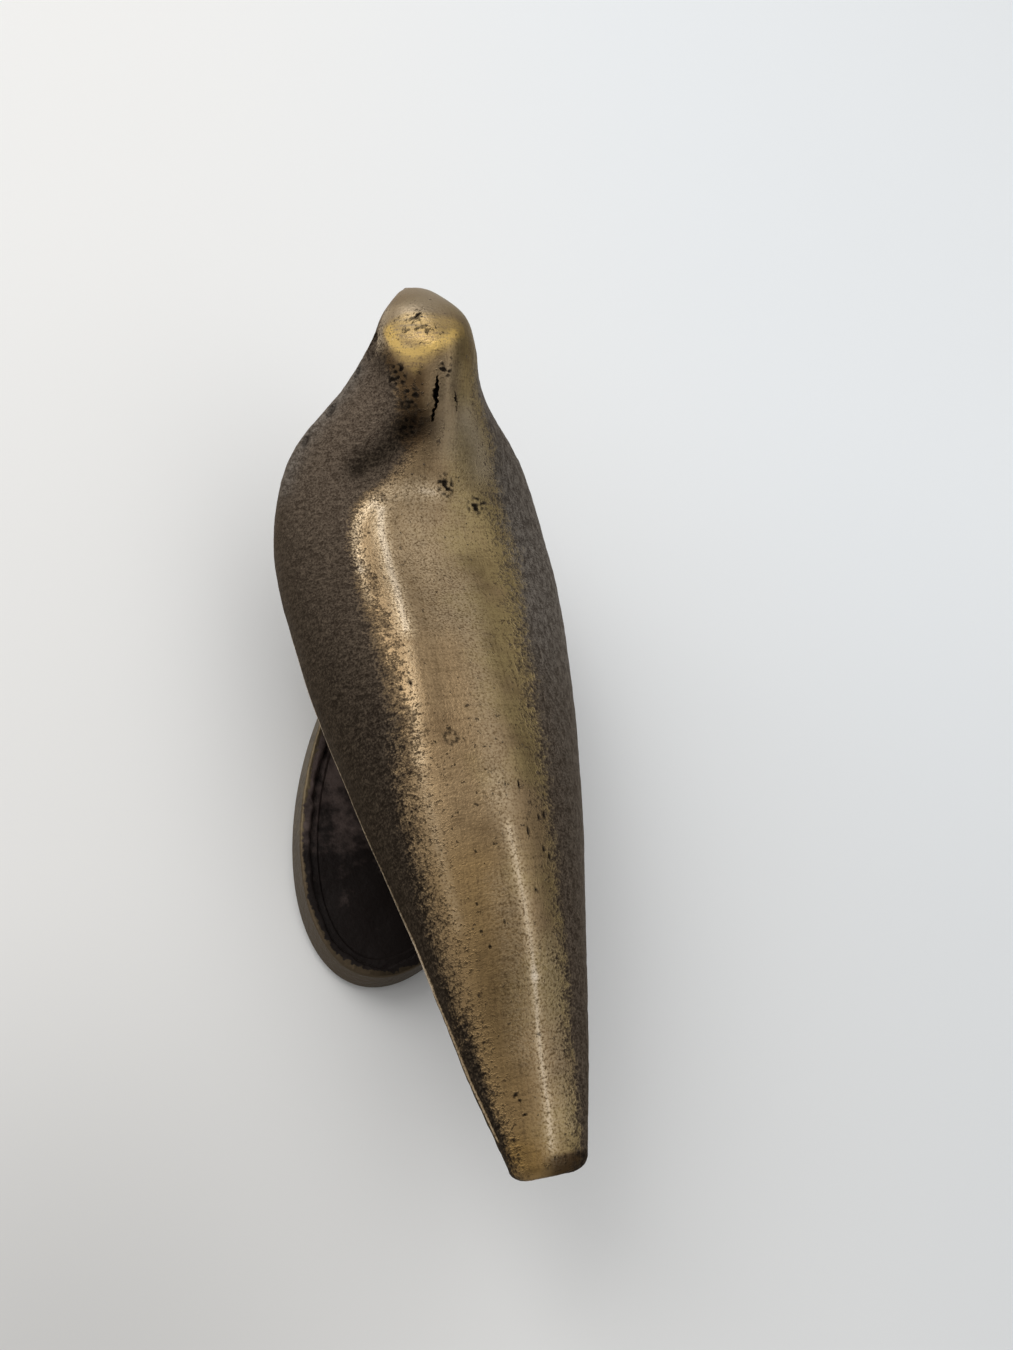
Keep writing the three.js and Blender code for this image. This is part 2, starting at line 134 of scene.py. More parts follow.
def ring_tower(name: str, points: int, cuts: Sequence[int]) -> Piece:
    """Extrudes a circle of radius 1 into a straight tower of bands, one unit high each.

    Args:
        name: The piece's name.
        points: Points in the circle.
        cuts: How many rings to cut into each band.

    Returns:
        The tower, open at both ends.
    """
    bpy.ops.object.select_all(action="DESELECT")
    bpy.ops.mesh.primitive_circle_add(vertices=points, radius=1.0)
    tower = bpy.context.object
    tower.name = tower.data.name = name
    bpy.ops.object.mode_set(mode="EDIT")
    bpy.ops.mesh.select_all(action="SELECT")
    for _ in cuts:
        bpy.ops.mesh.extrude_region_move(TRANSFORM_OT_translate={"value": (0, 0, 1)})
    bpy.ops.mesh.select_mode(type="EDGE")
    for number in sorted(set(cuts)):
        bpy.ops.mesh.select_all(action="DESELECT")
        mesh = bmesh.from_edit_mesh(tower.data)
        for edge in mesh.edges:
            low, high = sorted(vertex.co.z for vertex in edge.verts)
            edge.select = high - low > WHOLE_BAND and cuts[round(low)] == number
        mesh.select_flush_mode()
        bmesh.update_edit_mesh(tower.data)
        bpy.ops.mesh.subdivide(number_cuts=number)
    bpy.ops.object.mode_set(mode="OBJECT")
    return tower


def settle(tower: Piece, place: Callable[[Array, Array], Array]) -> None:
    """Moves each point of a ring tower onto the form that its level and angle stand for.

    Args:
        tower: The straight tower.
        place: Gives the points, in millimetres, for levels and angles.
    """
    x, y, level = read(tower.data.vertices).T
    angle = np.arctan2(y, x)
    paint(tower, "lattice", np.stack([level, np.cos(angle), np.sin(angle)], 1))
    move(tower, place(level, angle))


def oval_tower(
    name: str, cuts: Sequence[int], rings: Sequence[Colour], length: float, width: float, fray: float = 0.0
) -> Piece:
    """Builds an oval from rings that lie inside one outline.

    Args:
        name: The piece's name.
        cuts: How many rings to add between each two.
        rings: Each ring's inset and height, and 0 where it shrinks to the middle, else 1.
        length: The outline's length.
        width: Its width.
        fray: How uneven the outline is.

    Returns:
        The oval, before its points are merged.
    """
    table = np.array(rings, float)
    tower = ring_tower(name, OVAL_POINTS, cuts)

    def place(level: Array, angle: Array) -> Array:
        """Finds the points of the oval.

        Args:
            level: Levels of the tower.
            angle: Angles round it, in radians.

        Returns:
            The points, in millimetres.
        """
        inset, height, size = (np.interp(level, range(len(rings)), column) for column in table.T)
        loose = fray * (np.sin(37 * angle) + np.sin(91 * angle + 1.3) - 2) - inset
        x = (width / 2 + loose) * size * np.cos(angle)
        return np.stack([x, (length / 2 + loose) * size * np.sin(angle), height], 1)

    settle(tower, place)
    return tower


def close_up(piece: Piece) -> None:
    """Merges the points that lie together and turns every face outwards.

    Args:
        piece: The piece.
    """
    lone(piece)
    bpy.ops.object.mode_set(mode="EDIT")
    bpy.ops.mesh.select_all(action="SELECT")
    bpy.ops.mesh.remove_doubles(threshold=MERGE_GAP)
    bpy.ops.mesh.normals_make_consistent(inside=False)
    bpy.ops.object.mode_set(mode="OBJECT")


def turn_profile(name: str, profile: Iterable[Point2], steps: int) -> Piece:
    """Spins a profile about the upright axis.

    Args:
        name: The piece's name.
        profile: Radii and heights, in millimetres, from the bottom up.
        steps: Steps of the full turn.

    Returns:
        The turned solid, closed and facing outwards.
    """
    places = [Vector((radius * MM, 0.0, height * MM)) for radius, height in profile]
    bpy.ops.object.select_all(action="DESELECT")
    bpy.ops.mesh.primitive_plane_add(size=MM, location=places[0])
    solid = bpy.context.object
    solid.name = solid.data.name = name
    bpy.ops.object.transform_apply(location=True, rotation=True, scale=True)
    bpy.ops.object.mode_set(mode="EDIT")
    bpy.ops.mesh.select_mode(type="VERT")
    bpy.ops.mesh.select_all(action="SELECT")
    bpy.ops.mesh.merge(type="CENTER")
    for before, after in zip(places, places[1:]):
        bpy.ops.mesh.extrude_region_move(TRANSFORM_OT_translate={"value": after - before})
    bpy.ops.mesh.select_all(action="SELECT")
    bpy.ops.mesh.spin(steps=steps, angle=2 * math.pi, center=(0, 0, 0), axis=(0, 0, 1))
    bpy.ops.object.mode_set(mode="OBJECT")
    close_up(solid)
    return solid


def quarter(steps: int) -> list[Point2]:
    """A quarter round of radius 1 in even steps: how far it runs in, and how far it rises."""
    turns = [step / steps * math.pi / 2 for step in range(steps + 1)]
    return [(1 - math.cos(turn), math.sin(turn)) for turn in turns]


def carve(piece: Piece, tool: Piece, operation: str) -> None:
    """Joins another solid to a piece or cuts it away, and deletes that other solid.

    Args:
        piece: The piece that stays.
        tool: The solid that is joined or cut away.
        operation: UNION or DIFFERENCE.
    """
    lone(piece)
    modifier = piece.modifiers.new("carve", "BOOLEAN")
    modifier.operation = operation
    modifier.object = tool
    modifier.solver = "EXACT"
    bpy.ops.object.modifier_apply(modifier=modifier.name)
    bpy.data.objects.remove(tool)


def smooth_step(values: Array, low: float, high: float) -> Array:
    """A smooth step from 0 at low to 1 at high."""
    t = np.clip((values - low) / (high - low), 0, 1)
    return t * t * (3 - 2 * t)


def interp(values: Array, table: Table) -> Array:
    """Reads a table of pairs at some values."""
    return np.interp(values, *zip(*table))


def smooth_waves(points: Array, per_ten_mm: float, seed: int) -> Array:
    """A sum of crossing waves that looks uneven, from -1 to 1.

    Args:
        points: Places in millimetres.
        per_ten_mm: Waves in ten millimetres.
        seed: Which pattern.

    Returns:
        One value for each place.
    """
    rng = np.random.default_rng(seed)
    total = np.zeros(len(points))
    count = 14
    for _ in range(count):
        way = rng.normal(size=3)
        way *= 2 * math.pi * per_ten_mm / 10 * rng.uniform(0.6, 1.6) / np.linalg.norm(way)
        total += np.sin(points @ way + rng.uniform(0, 2 * math.pi))
    return total / math.sqrt(count)


# Shader maths


class Shade:
    """A socket's value that takes part in sums, each of which adds its Math node."""

    def __init__(self, graph: "Graph", socket: bpy.types.NodeSocket) -> None:
        """Wraps a socket of a graph."""
        self.graph, self.socket = graph, socket

    def math(self, operation: str, *others: "Shade | float", clamp: bool = False) -> "Shade":
        """Adds one Math node on this value and the others."""
        settings = {"operation": operation, "use_clamp": clamp}
        return self.graph.node("ShaderNodeMath", settings, dict(enumerate((self, *others))))

    def __add__(self, other: "Shade | float") -> "Shade":
        """Sum."""
        return self.math("ADD", other)

    def __sub__(self, other: "Shade | float") -> "Shade":
        """Difference."""
        return self.math("SUBTRACT", other)

    def __rsub__(self, other: float) -> "Shade":
        """Difference from a number in front."""
        return self.graph.node("ShaderNodeMath", {"operation": "SUBTRACT"}, {0: other, 1: self})

    def __mul__(self, other: "Shade | float") -> "Shade":
        """Product."""
        return self.math("MULTIPLY", other)

    def __truediv__(self, other: "Shade | float") -> "Shade":
        """Quotient."""
        return self.math("DIVIDE", other)

    __radd__, __rmul__ = __add__, __mul__

    def held(self) -> "Shade":
        """The value held between 0 and 1."""
        return self.math("ADD", 0.0, clamp=True)

    def step(self, low: "Shade | float", high: "Shade | float") -> "Shade":
        """A smooth step from 0 at low to 1 at high."""
        sockets = {"Value": self, "From Min": low, "From Max": high, "To Min": 0.0, "To Max": 1.0}
        return self.graph.node("ShaderNodeMapRange", {"interpolation_type": "SMOOTHSTEP"}, sockets)


def pick(sockets: Sequence, key: str | int) -> bpy.types.NodeSocket:
    """The socket with a number, or the one in use with a name."""
    return sockets[key] if isinstance(key, int) else next(s for s in sockets if s.name == key and s.enabled)


class Graph:
    """The node graph of a material, or of the world."""

    def __init__(self, tree: bpy.types.NodeTree) -> None:
        """Starts an empty graph."""
        self.tree = tree
        tree.nodes.clear()

    def node(
        self, kind: str, settings: dict | None = None, sockets: dict | None = None, out: str | int = 0
    ) -> Shade | None:
        """Adds a node.

        Args:
            kind: The node's type.
            settings: Its settings, set first.
            sockets: Values or shades for its inputs, by name or number.
            out: Which output is wanted, by name or number.

        Returns:
            That output, or None from a node that has none.
        """
        node = self.tree.nodes.new(kind)
        for name, value in (settings or {}).items():
            setattr(node, name, value)
        for key, value in (sockets or {}).items():
            if isinstance(value, Shade):
                self.tree.links.new(value.socket, pick(node.inputs, key))
            else:
                pick(node.inputs, key).default_value = value
        return Shade(self, pick(node.outputs, out)) if node.outputs else None

    def attribute(self, name: str, out: str = "Fac") -> Shade:
        """An attribute that the mesh carries."""
        return self.node("ShaderNodeAttribute", {"attribute_name": name}, out=out)

    def part(self, vector: Shade, number: int) -> Shade:
        """One of the three parts of a vector."""
        return self.node("ShaderNodeSeparateXYZ", {}, {0: vector}, number)

    def vector(self, operation: str, first: Shade, second: Shade | Colour, out: str | int = 0) -> Shade:
        """The outcome of one Vector Math node."""
        return self.node("ShaderNodeVectorMath", {"operation": operation}, {0: first, 1: second}, out)

    def millimetres(self) -> Shade:
        """The place on the object, in millimetres."""
        return self.vector("MULTIPLY", self.node("ShaderNodeTexCoord", out="Object"), (1 / MM,) * 3)

    def noise(self, place: Shade, per_mm: float, detail: float, rough: float) -> Shade:
        """Noise round 0.5: waves per millimetre, then the number and the strength of finer layers."""
        sockets = {"Vector": place, "Scale": per_mm, "Detail": detail, "Roughness": rough}
        return self.node("ShaderNodeTexNoise", {}, sockets)

    def long_noise(self, place: Shade, per_mm: Colour, detail: float, rough: float) -> Shade:
        """Noise with its own waves per millimetre in each of the three directions."""
        return self.noise(self.vector("MULTIPLY", place, per_mm), 1.0, detail, rough)

    def blend(self, share: Shade | float, first: Shade | Colour, second: Shade | Colour) -> Shade:
        """Mixes two colours.

        Args:
            share: 0 for the first, 1 for the second.
            first: A colour or a shade.
            second: A colour or a shade.

        Returns:
            The mixed colour.
        """
        settings = {"data_type": "RGBA", "blend_type": "MIX", "clamp_factor": True}
        inks = [ink if isinstance(ink, Shade) else (*ink, 1.0) for ink in (first, second)]
        return self.node("ShaderNodeMix", settings, {0: share, 6: inks[0], 7: inks[1]}, 2)

    def bump(self, height: Shade, depth_mm: float, under: Shade | None = None) -> Shade:
        """A normal from heights of 0 to 1 over a depth, laid over another normal if one is given."""
        sockets = {"Strength": 1.0, "Distance": depth_mm * MM, "Height": height}
        return self.node("ShaderNodeBump", {}, {**sockets, **({"Normal": under} if under else {})})

    def surface(self, sockets: dict) -> None:
        """Ends the graph in a shader with these inputs."""
        shader = self.node("ShaderNodeBsdfPrincipled", {}, sockets)
        self.node("ShaderNodeOutputMaterial", {}, {"Surface": shader})


# Finishes


class Finish:
    """What a piece looks like. The name is its material's."""

    name: str

    def build(self) -> bpy.types.Material:
        """Builds the material.

        Returns:
            The material, with its nodes wired.
        """
        material = bpy.data.materials.new(self.name)
        material.use_nodes = True
        self.wire(Graph(material.node_tree))
        return material

    def wire(self, g: Graph) -> None:
        """Wires the finish's nodes into an empty graph."""
        raise NotImplementedError


@dataclass(frozen=True)
class CastBrass(Finish):
    """Sand-cast brass under a dark brown skin, worn to satin metal where hands reach.

    The mesh carries wear, which rises from -1 to 1 across the edge of the worn band, brush, the
    distances across and along the back, and dirt, the crown's gold with a painted highlight on its
    edge, polished lines with painted highlights, tarnished patches with painted shade, a painted dark
    reflection on the lower left flank, film, bloom and honey.
    """

    name: str = "cast_brass"
    tan: Colour = (0.262, 0.182, 0.100)
    olive: Colour = (0.300, 0.225, 0.105)
    burnt: Colour = (0.022, 0.013, 0.007)
    umber: Colour = (0.085, 0.053, 0.026)
    # Pale tan of polished metal and of its painted highlights
    polish_and_highlight_cream: Colour = (0.580, 0.455, 0.300)
    honey: Colour = (0.265, 0.165, 0.060)
    # Near white of the painted highlights on the strongest polished lines
    flash: Colour = (0.850, 0.740, 0.600)
    gold: Colour = (0.60, 0.41, 0.140)
    dull: Colour = (0.460, 0.375, 0.265)
    skin_dark: Colour = (0.042, 0.030, 0.021)
    skin_light: Colour = (0.150, 0.116, 0.086)
    # Skin darkened by painted shade and by a painted dark reflection
    shaded_skin_dark: Colour = (0.009, 0.0065, 0.0045)
    shaded_skin_light: Colour = (0.068, 0.051, 0.035)
    bloom_dark: Colour = (0.070, 0.058, 0.049)
    bloom_light: Colour = (0.245, 0.217, 0.188)
    soot: Colour = (0.005, 0.0035, 0.0025)
    wear_softness: float = 0.34
    wear_grain: float = 3.0
    fine_per_mm: float = 3.3
    medium_per_mm: float = 1.6
    grain_depth: float = 0.34
    satin_depth: float = 0.05
    brush_depth: float = 0.010

    def wire(self, g: Graph) -> None:
        """Wires the worn metal over the skin of the mould.

        Args:
            g: The empty graph.
        """
        place = g.millimetres()
        names = ("wear", "dirt", "gold", "polish_and_highlight", "tarnish_and_shade", "age", "film", "bloom", "honey")
        wear, dirt, gold, polish_and_highlight, tarnish_and_shade, age, film, bloom, honey = map(g.attribute, names)
        brush = g.attribute("brush", "Vector")
        side = g.part(brush, 0)

        # The grain of the mould, and how far the metal is bared
        fine = g.noise(place, self.fine_per_mm, 2.0, 0.6)
        medium = g.noise(place, self.medium_per_mm, 2.0, 0.5)
        long_pits = g.long_noise(brush, (1.35, 0.62, 0.0), 2.0, 0.55)
        cross_pits = g.long_noise(brush, (0.60, 1.7, 0.0), 2.0, 0.55)
        streaks = long_pits + (cross_pits - long_pits) * side.step(-2.0, 2.0)
        broad = g.noise(place, 0.28, 3.0, 0.5)
        height = fine * 0.42 + medium * 0.30 + streaks * 0.28
        steep = wear + wear.math("MINIMUM", 0.0) * 0.9
        share = steep * self.wear_softness + 0.5 + (height - 0.5) * self.wear_grain + (broad - 0.5) * 0.6
        specks = g.noise(place, 1.1, 2.0, 0.6) * 0.8 + fine * 0.2
        specks = specks.step(0.645 - (1.1 - wear).held() * 0.07 - tarnish_and_shade * 0.12, 0.70)
        bright = share.step(0.10, 0.92) * (1.0 - specks * 0.80) * (1.0 - dirt)

        # The bared metal
        across_lines = g.long_noise(brush, (0.10, 2.2, 0.0), 3.0, 0.6)
        along_lines = g.long_noise(brush, (2.4, 0.07, 0.0), 3.0, 0.6)
        lines = across_lines * 0.5 + along_lines * 0.5
        cloud = g.noise(place, 0.11, 3.0, 0.5)
        metal = g.blend((cloud - side * 0.035).step(0.40, 0.72), self.tan, self.olive)
        metal = g.blend(honey.held(), metal, self.honey)
        stain = g.noise(place, 0.20, 4.0, 0.6).step(0.48, 0.74)
        # Tarnished patches and painted shade darken the metal towards umber, the strongest towards burnt brown
        metal = g.blend(stain * 0.45 + tarnish_and_shade, metal, self.umber)
        metal = g.blend((tarnish_and_shade - 0.85).held(), metal, self.burnt)
        mottle = (lines - 0.5) * 2.6 + 0.10 - (fine - 0.5) * 1.3 - (medium - 0.5) * 0.8
        metal = g.blend(mottle, metal, self.umber)
        metal = g.blend(film.held() * (0.86 + (fine - 0.5) * 1.2), metal, self.dull)
        # Painted highlights: polished lines lighten the metal towards pale tan, the strongest towards near
        # white
        metal = g.blend(polish_and_highlight * (0.56 + (fine - 0.5) * 4.0).held(), metal, self.polish_and_highlight_cream)
        metal = g.blend((polish_and_highlight - 0.9).held() * (fine * 2.0 - 0.2).held(), metal, self.flash)
        scratches = (across_lines - 0.5) * 3.2
        flecks = fine * 2.4 + medium * 1.6 - 1.10
        # The crown's gold: a worn patch, with a painted highlight along its lower edge
        metal = g.blend(gold * (flecks + scratches).held(), metal, self.gold)

        # The skin of the mould
        mark = (fine * 0.55 + medium * 0.2 + streaks * 0.25).step(0.36, 0.66)
        skin = g.blend(mark, self.skin_dark, self.skin_light)
        pitted = (fine * 0.50 + streaks * 0.50).step(0.37, 0.64)
        skin = g.blend(bloom.held(), skin, g.blend(pitted, self.bloom_dark, self.bloom_light))
        # A painted dark reflection on the lower left flank, and painted shade under the tarnished strokes,
        # darken the skin
        shaded_skin = g.blend(mark * mark, self.shaded_skin_dark, self.shaded_skin_light)
        skin = g.blend((tarnish_and_shade * 0.6 + age).held(), skin, shaded_skin)
        shown = (bright + polish_and_highlight * (fine - 0.44) * 3.0 * bright.step(0.05, 0.3)).held()
        colour = g.blend(dirt, g.blend(shown, skin, metal), self.soot)

        coarse = (fine * 0.4 + medium * 0.3 + streaks * 0.6) * (1.0 - bright * 0.85)
        normal = g.bump(coarse, self.grain_depth)
        normal = g.bump(fine * 0.7 + medium * 0.3, self.satin_depth, normal)
        g.surface({
            "Base Color": colour,
            "Metallic": bright * 0.10 + 0.90,
            "Roughness": 0.52 - bright * 0.18 + (fine - 0.5) * 0.3 + tarnish_and_shade * 0.12,
            "Normal": g.bump(lines * bright, self.brush_depth, normal),
            "Specular Tint": (0.60, 0.55, 0.50, 1.0),
            "Specular IOR Level": 0.25,
        })


@dataclass(frozen=True)
class FootBrass(Finish):
    """The foot's finish: a dull worn rim round a nearly black, mottled dish.

    The mesh carries wear, the distance in millimetres from the edge of the dark dish.
    """

    name: str = "foot_brass"
    rim: Colour = (0.135, 0.103, 0.061)
    rim_dark: Colour = (0.075, 0.055, 0.034)
    dish: Colour = (0.009, 0.0055, 0.0045)
    dish_light: Colour = (0.105, 0.076, 0.067)

    def wire(self, g: Graph) -> None:
        """Wires the rim and the dish, both with painted shade that darkens them towards the tail.

        Args:
            g: The empty graph.
        """
        place = g.millimetres()
        grain = g.noise(place, 1.2, 4.0, 0.6)
        mottle = g.noise(place, 0.35, 4.0, 0.65)
        ragged = grain * 0.6 + mottle * 0.4
        cut = 0.5 - g.attribute("wear") * 0.30
        bright = ragged.step(cut - 0.02, cut + 0.05)
        tailward = g.part(place, 1)
        # Painted shade: the rim and the dish grow darker towards the tail, where the bird shades them
        rim_wear_and_shade = mottle * 0.5 + grain * 0.5 + 0.04 - tailward * 0.009
        rim = g.blend(rim_wear_and_shade.step(0.38, 0.64), self.rim_dark, self.rim)
        dish_wear_and_shade = (mottle + 0.16 - tailward * 0.016).step(0.36, 0.78)
        dish = g.blend(dish_wear_and_shade, self.dish, self.dish_light)
        g.surface({
            "Base Color": g.blend(bright, dish, rim),
            "Metallic": bright * 0.5 + 0.35,
            "Roughness": 0.58 - bright * 0.10,
            "Normal": g.bump(ragged, 0.22),
            "Specular IOR Level": 0.25,
        })


@dataclass(frozen=True)
class TurnedBrass(Finish):
    """The stem's finish: lathe lines, dulled with the years."""

    name: str = "turned_brass"
    bright: Colour = (0.27, 0.205, 0.105)
    dull: Colour = (0.085, 0.066, 0.045)

    def wire(self, g: Graph) -> None:
        """Wires the lathe lines and the dull film.

        Args:
            g: The empty graph.
        """
        place = g.millimetres()
        lathe = g.long_noise(place, (0.05, 0.05, 6.0), 3.0, 0.6)
        share = (lathe * 0.45 + g.noise(place, 0.35, 3.0, 0.55) * 0.55).step(0.38, 0.66)
        g.surface({
            "Base Color": g.blend(share, self.dull, self.bright),
            "Metallic": share * 0.4 + 0.6,
            "Roughness": 0.46 - share * 0.12,
            "Normal": g.bump(lathe, 0.03),
        })


@dataclass(frozen=True)
class TurnedSteel(Finish):
    """Screw steel: fine turning lines and a few dull stains."""

    name: str
    colour: Colour
    stain: Colour = (0.16, 0.13, 0.10)

    def wire(self, g: Graph) -> None:
        """Wires the turning lines and the stains.

        Args:
            g: The empty graph.
        """
        place = g.millimetres()
        lines = g.long_noise(place, (0.2, 0.2, 9.0), 2.0, 0.5)
        film = g.noise(place, 0.8, 3.0, 0.6).step(0.55, 0.75)
        g.surface({
            "Base Color": g.blend(film * 0.6, self.colour, self.stain),
            "Roughness": 0.32 + lines * 0.16,
            "Normal": g.bump(lines, 0.015),
            "Metallic": 1.0,
        })


@dataclass(frozen=True)
class PressedFelt(Finish):
    """Dark green wool felt, pressed, with short loose hairs."""

    name: str = "pressed_felt"
    dark: Colour = (0.016, 0.030, 0.020)
    light: Colour = (0.050, 0.082, 0.055)

    def wire(self, g: Graph) -> None:
        """Wires the hairs and the lumps.

        Args:
            g: The empty graph.
        """
        place = g.millimetres()
        hairs = g.noise(g.vector("MULTIPLY", place, (1.0, 1.0, 0.4)), 3.2, 5.0, 0.75)
        lumps = g.noise(place, 0.5, 3.0, 0.5)
        share = (hairs * 0.7 + lumps * 0.3).step(0.35, 0.68)
        g.surface({
            "Base Color": g.blend(share, self.dark, self.light),
            "Normal": g.bump(hairs * 0.75 + lumps * 0.25, 0.35),
            "Roughness": 1.0,
            "Sheen Weight": 0.35,
            "Sheen Roughness": 0.6,
        })


@dataclass(frozen=True)
class PaleBoard(Finish):
    """The plain pale board that everything stands on, with a soft painted shadow over one corner."""

    name: str = "pale_board"
    near: Colour = (0.76, 0.755, 0.745)
    far: Colour = (0.90, 0.90, 0.895)
    cool: Colour = (0.965, 1.0, 1.04)
    reach_mm: float = 120.0
    shade_place: Colour = (60.0, 78.0, 0.0)
    shade_reach_mm: float = 70.0
    shade_amount: float = 0.22

    def wire(self, g: Graph) -> None:
        """Wires the board, with painted shade that greys it towards the tail, and cooler on the bird's right.

        Args:
            g: The empty graph.
        """
        place = g.millimetres()
        left, tailward = g.part(place, 0), g.part(place, 1)
        # Painted shade: the board darkens towards the tail and, a little, towards the bird's left
        tone = (left * -0.15 - tailward).step(-self.reach_mm, self.reach_mm)
        tone = tone + (g.noise(place, 0.02, 2.0, 0.5) - 0.5) * 0.06
        tint = g.blend((left * -1.0).step(-60.0, 130.0), (1.0, 1.0, 1.0), self.cool)
        product = g.vector("MULTIPLY", g.blend(tone, self.near, self.far), tint)
        # Painted shadow: a soft dark patch over one corner of the board
        apart = g.vector("DISTANCE", place, self.shade_place, "Value")
        shade = (1.0 - apart / self.shade_reach_mm).step(0.0, 1.0) * self.shade_amount
        g.surface({"Base Color": g.blend(shade, product, (0.0, 0.0, 0.0)), "Roughness": 0.85})


def finish_piece(piece: Piece, finish: Finish, node: str) -> None:
    """Shades a piece smooth, dresses it and puts it in the place of its node.

    Args:
        piece: The finished mesh.
        finish: Its finish.
        node: The node of the frame that the piece replaces.
    """
    lone(piece)
    bpy.ops.object.shade_smooth_by_angle(angle=SMOOTH_BELOW)
    piece.data.materials.clear()
    piece.data.materials.append(finish.build())
    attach(piece, "root")
    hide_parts(node)
    LOG.info("%s: %d faces", piece.name, len(piece.data.polygons))


# The form of the bird


class Section(NamedTuple):
    """One key section, a ring through a top and a low point of the middle plane.

    The widest line lies at the share edge of the way up; pinch narrows the ring above it towards
    the top. The two powers belong to the upper and the lower half: 2 is round, more is square.
    """

    top_y: float
    top_z: float
    low_y: float
    low_z: float
    half_width: float
    edge: float
    pinch: float
    top_power: float
    low_power: float


SECTIONS: dict[str, Section] = {
    "tail end": Section(61.95, 12.6, 61.95, 8.4, 5.2, 0.30, 0, 3.0, 4.0),
    "tail": Section(49.5, 14.8, 50.5, 8.4, 8.4, 0.20, 0, 2.4, 4.0),
    "rump": Section(33.5, 20.6, 35.5, 7.4, 11.6, 0.17, 0, 2.1, 4.0),
    "loin": Section(15.5, 23.0, 15.5, 4.9, 16.2, 0.20, 0, 2.1, 3.6),
    "back": Section(-4.0, 21.9, -8.0, 0.9, 20.5, 0.28, 0, 2.2, 3.0),
    "shoulder": Section(-22.5, 19.2, -32.5, -0.6, 22.7, 0.36, 0.04, 2.4, 2.4),
    "nape": Section(-34.5, 23.9, -48.5, 5.4, 19.8, 0.40, 0.34, 2.0, 2.2),
    "neck": Section(-41.5, 31.9, -57.0, 13.9, 11.6, 0.38, 0.36, 1.8, 2.1),
    "crown": Section(-48.0, 36.1, -59.5, 20.4, 8.25, 0.40, 0.16, 2.1, 2.0),
    "brow": Section(-55.2, 35.4, -61.0, 24.9, 6.55, 0.45, 0.04, 2.2, 2.0),
    "beak root": Section(-62.4, 31.9, -63.0, 26.8, 3.8, 0.50, 0, 2.0, 2.0),
    "beak tip": Section(-65.8, 28.8, -66.0, 27.4, 1.6, 0.50, 0, 2.0, 2.0),
}
LAST = len(SECTIONS) - 1


def section_at(along: Array) -> Section:
    """Reads the smooth curves through the key sections, which have free ends.

    Args:
        along: Places along the bird, counted in key sections from the tail.

    Returns:
        A section whose sizes are arrays, with one value for each place.
    """
    keys = np.array(list(SECTIONS.values()))
    rows = np.vstack([2 * keys[0] - keys[1], keys, 2 * keys[-1] - keys[-2]])
    step = np.clip(along.astype(int), 0, LAST - 1)
    t = (along - step)[:, None]
    before, start, end, after = (rows[step + shift] for shift in range(4))
    leave, arrive = (end - before) / 2, (after - start) / 2
    bend = 3 * (end - start) - 2 * leave - arrive
    turn = 2 * (start - end) + leave + arrive
    return Section(*(start + leave * t + bend * t**2 + turn * t**3).T)


def skin(along: Array, angle: Array, inset: Array | float = 0.0, side_inset: Array | float = 0.0) -> Array:
    """Finds points of the bird's skin, in millimetres.

    Args:
        along: Places along the bird, counted in key sections from the tail.
        angle: Angles round it, 0 on the widest line of its left side and a quarter turn on its back.
        inset: How far the ring is drawn in at its top and bottom.
        side_inset: How far it is drawn in at its sides.

    Returns:
        The points.
    """
    key = section_at(along)
    height = np.hypot(key.top_y - key.low_y, key.top_z - key.low_z)
    pull_y = (key.top_y - key.low_y) / height * inset
    pull_z = (key.top_z - key.low_z) / height * inset
    c, s = np.cos(angle), np.sin(angle)
    power = 2 / np.where(s > 0, key.top_power, key.low_power)
    across = np.sign(c) * np.abs(c) ** power
    rise = np.sign(s) * np.abs(s) ** power
    narrowing = 1 - np.maximum(key.pinch, 0) * np.maximum(rise, 0) ** 1.5
    share = np.where(rise > 0, key.edge + (1 - key.edge) * rise, key.edge * (1 + rise))
    x = (key.half_width - side_inset) * across * narrowing
    y = key.low_y + pull_y + (key.top_y - key.low_y - 2 * pull_y) * share
    z = key.low_z + pull_z + (key.top_z - key.low_z - 2 * pull_z) * share
    return np.stack([x, y, z], 1)


def point(along: float, around: float) -> Vector:
    """One point of the skin, in millimetres, for an angle in degrees."""
    return Vector(skin(np.array([along]), np.array([math.radians(around)]))[0])


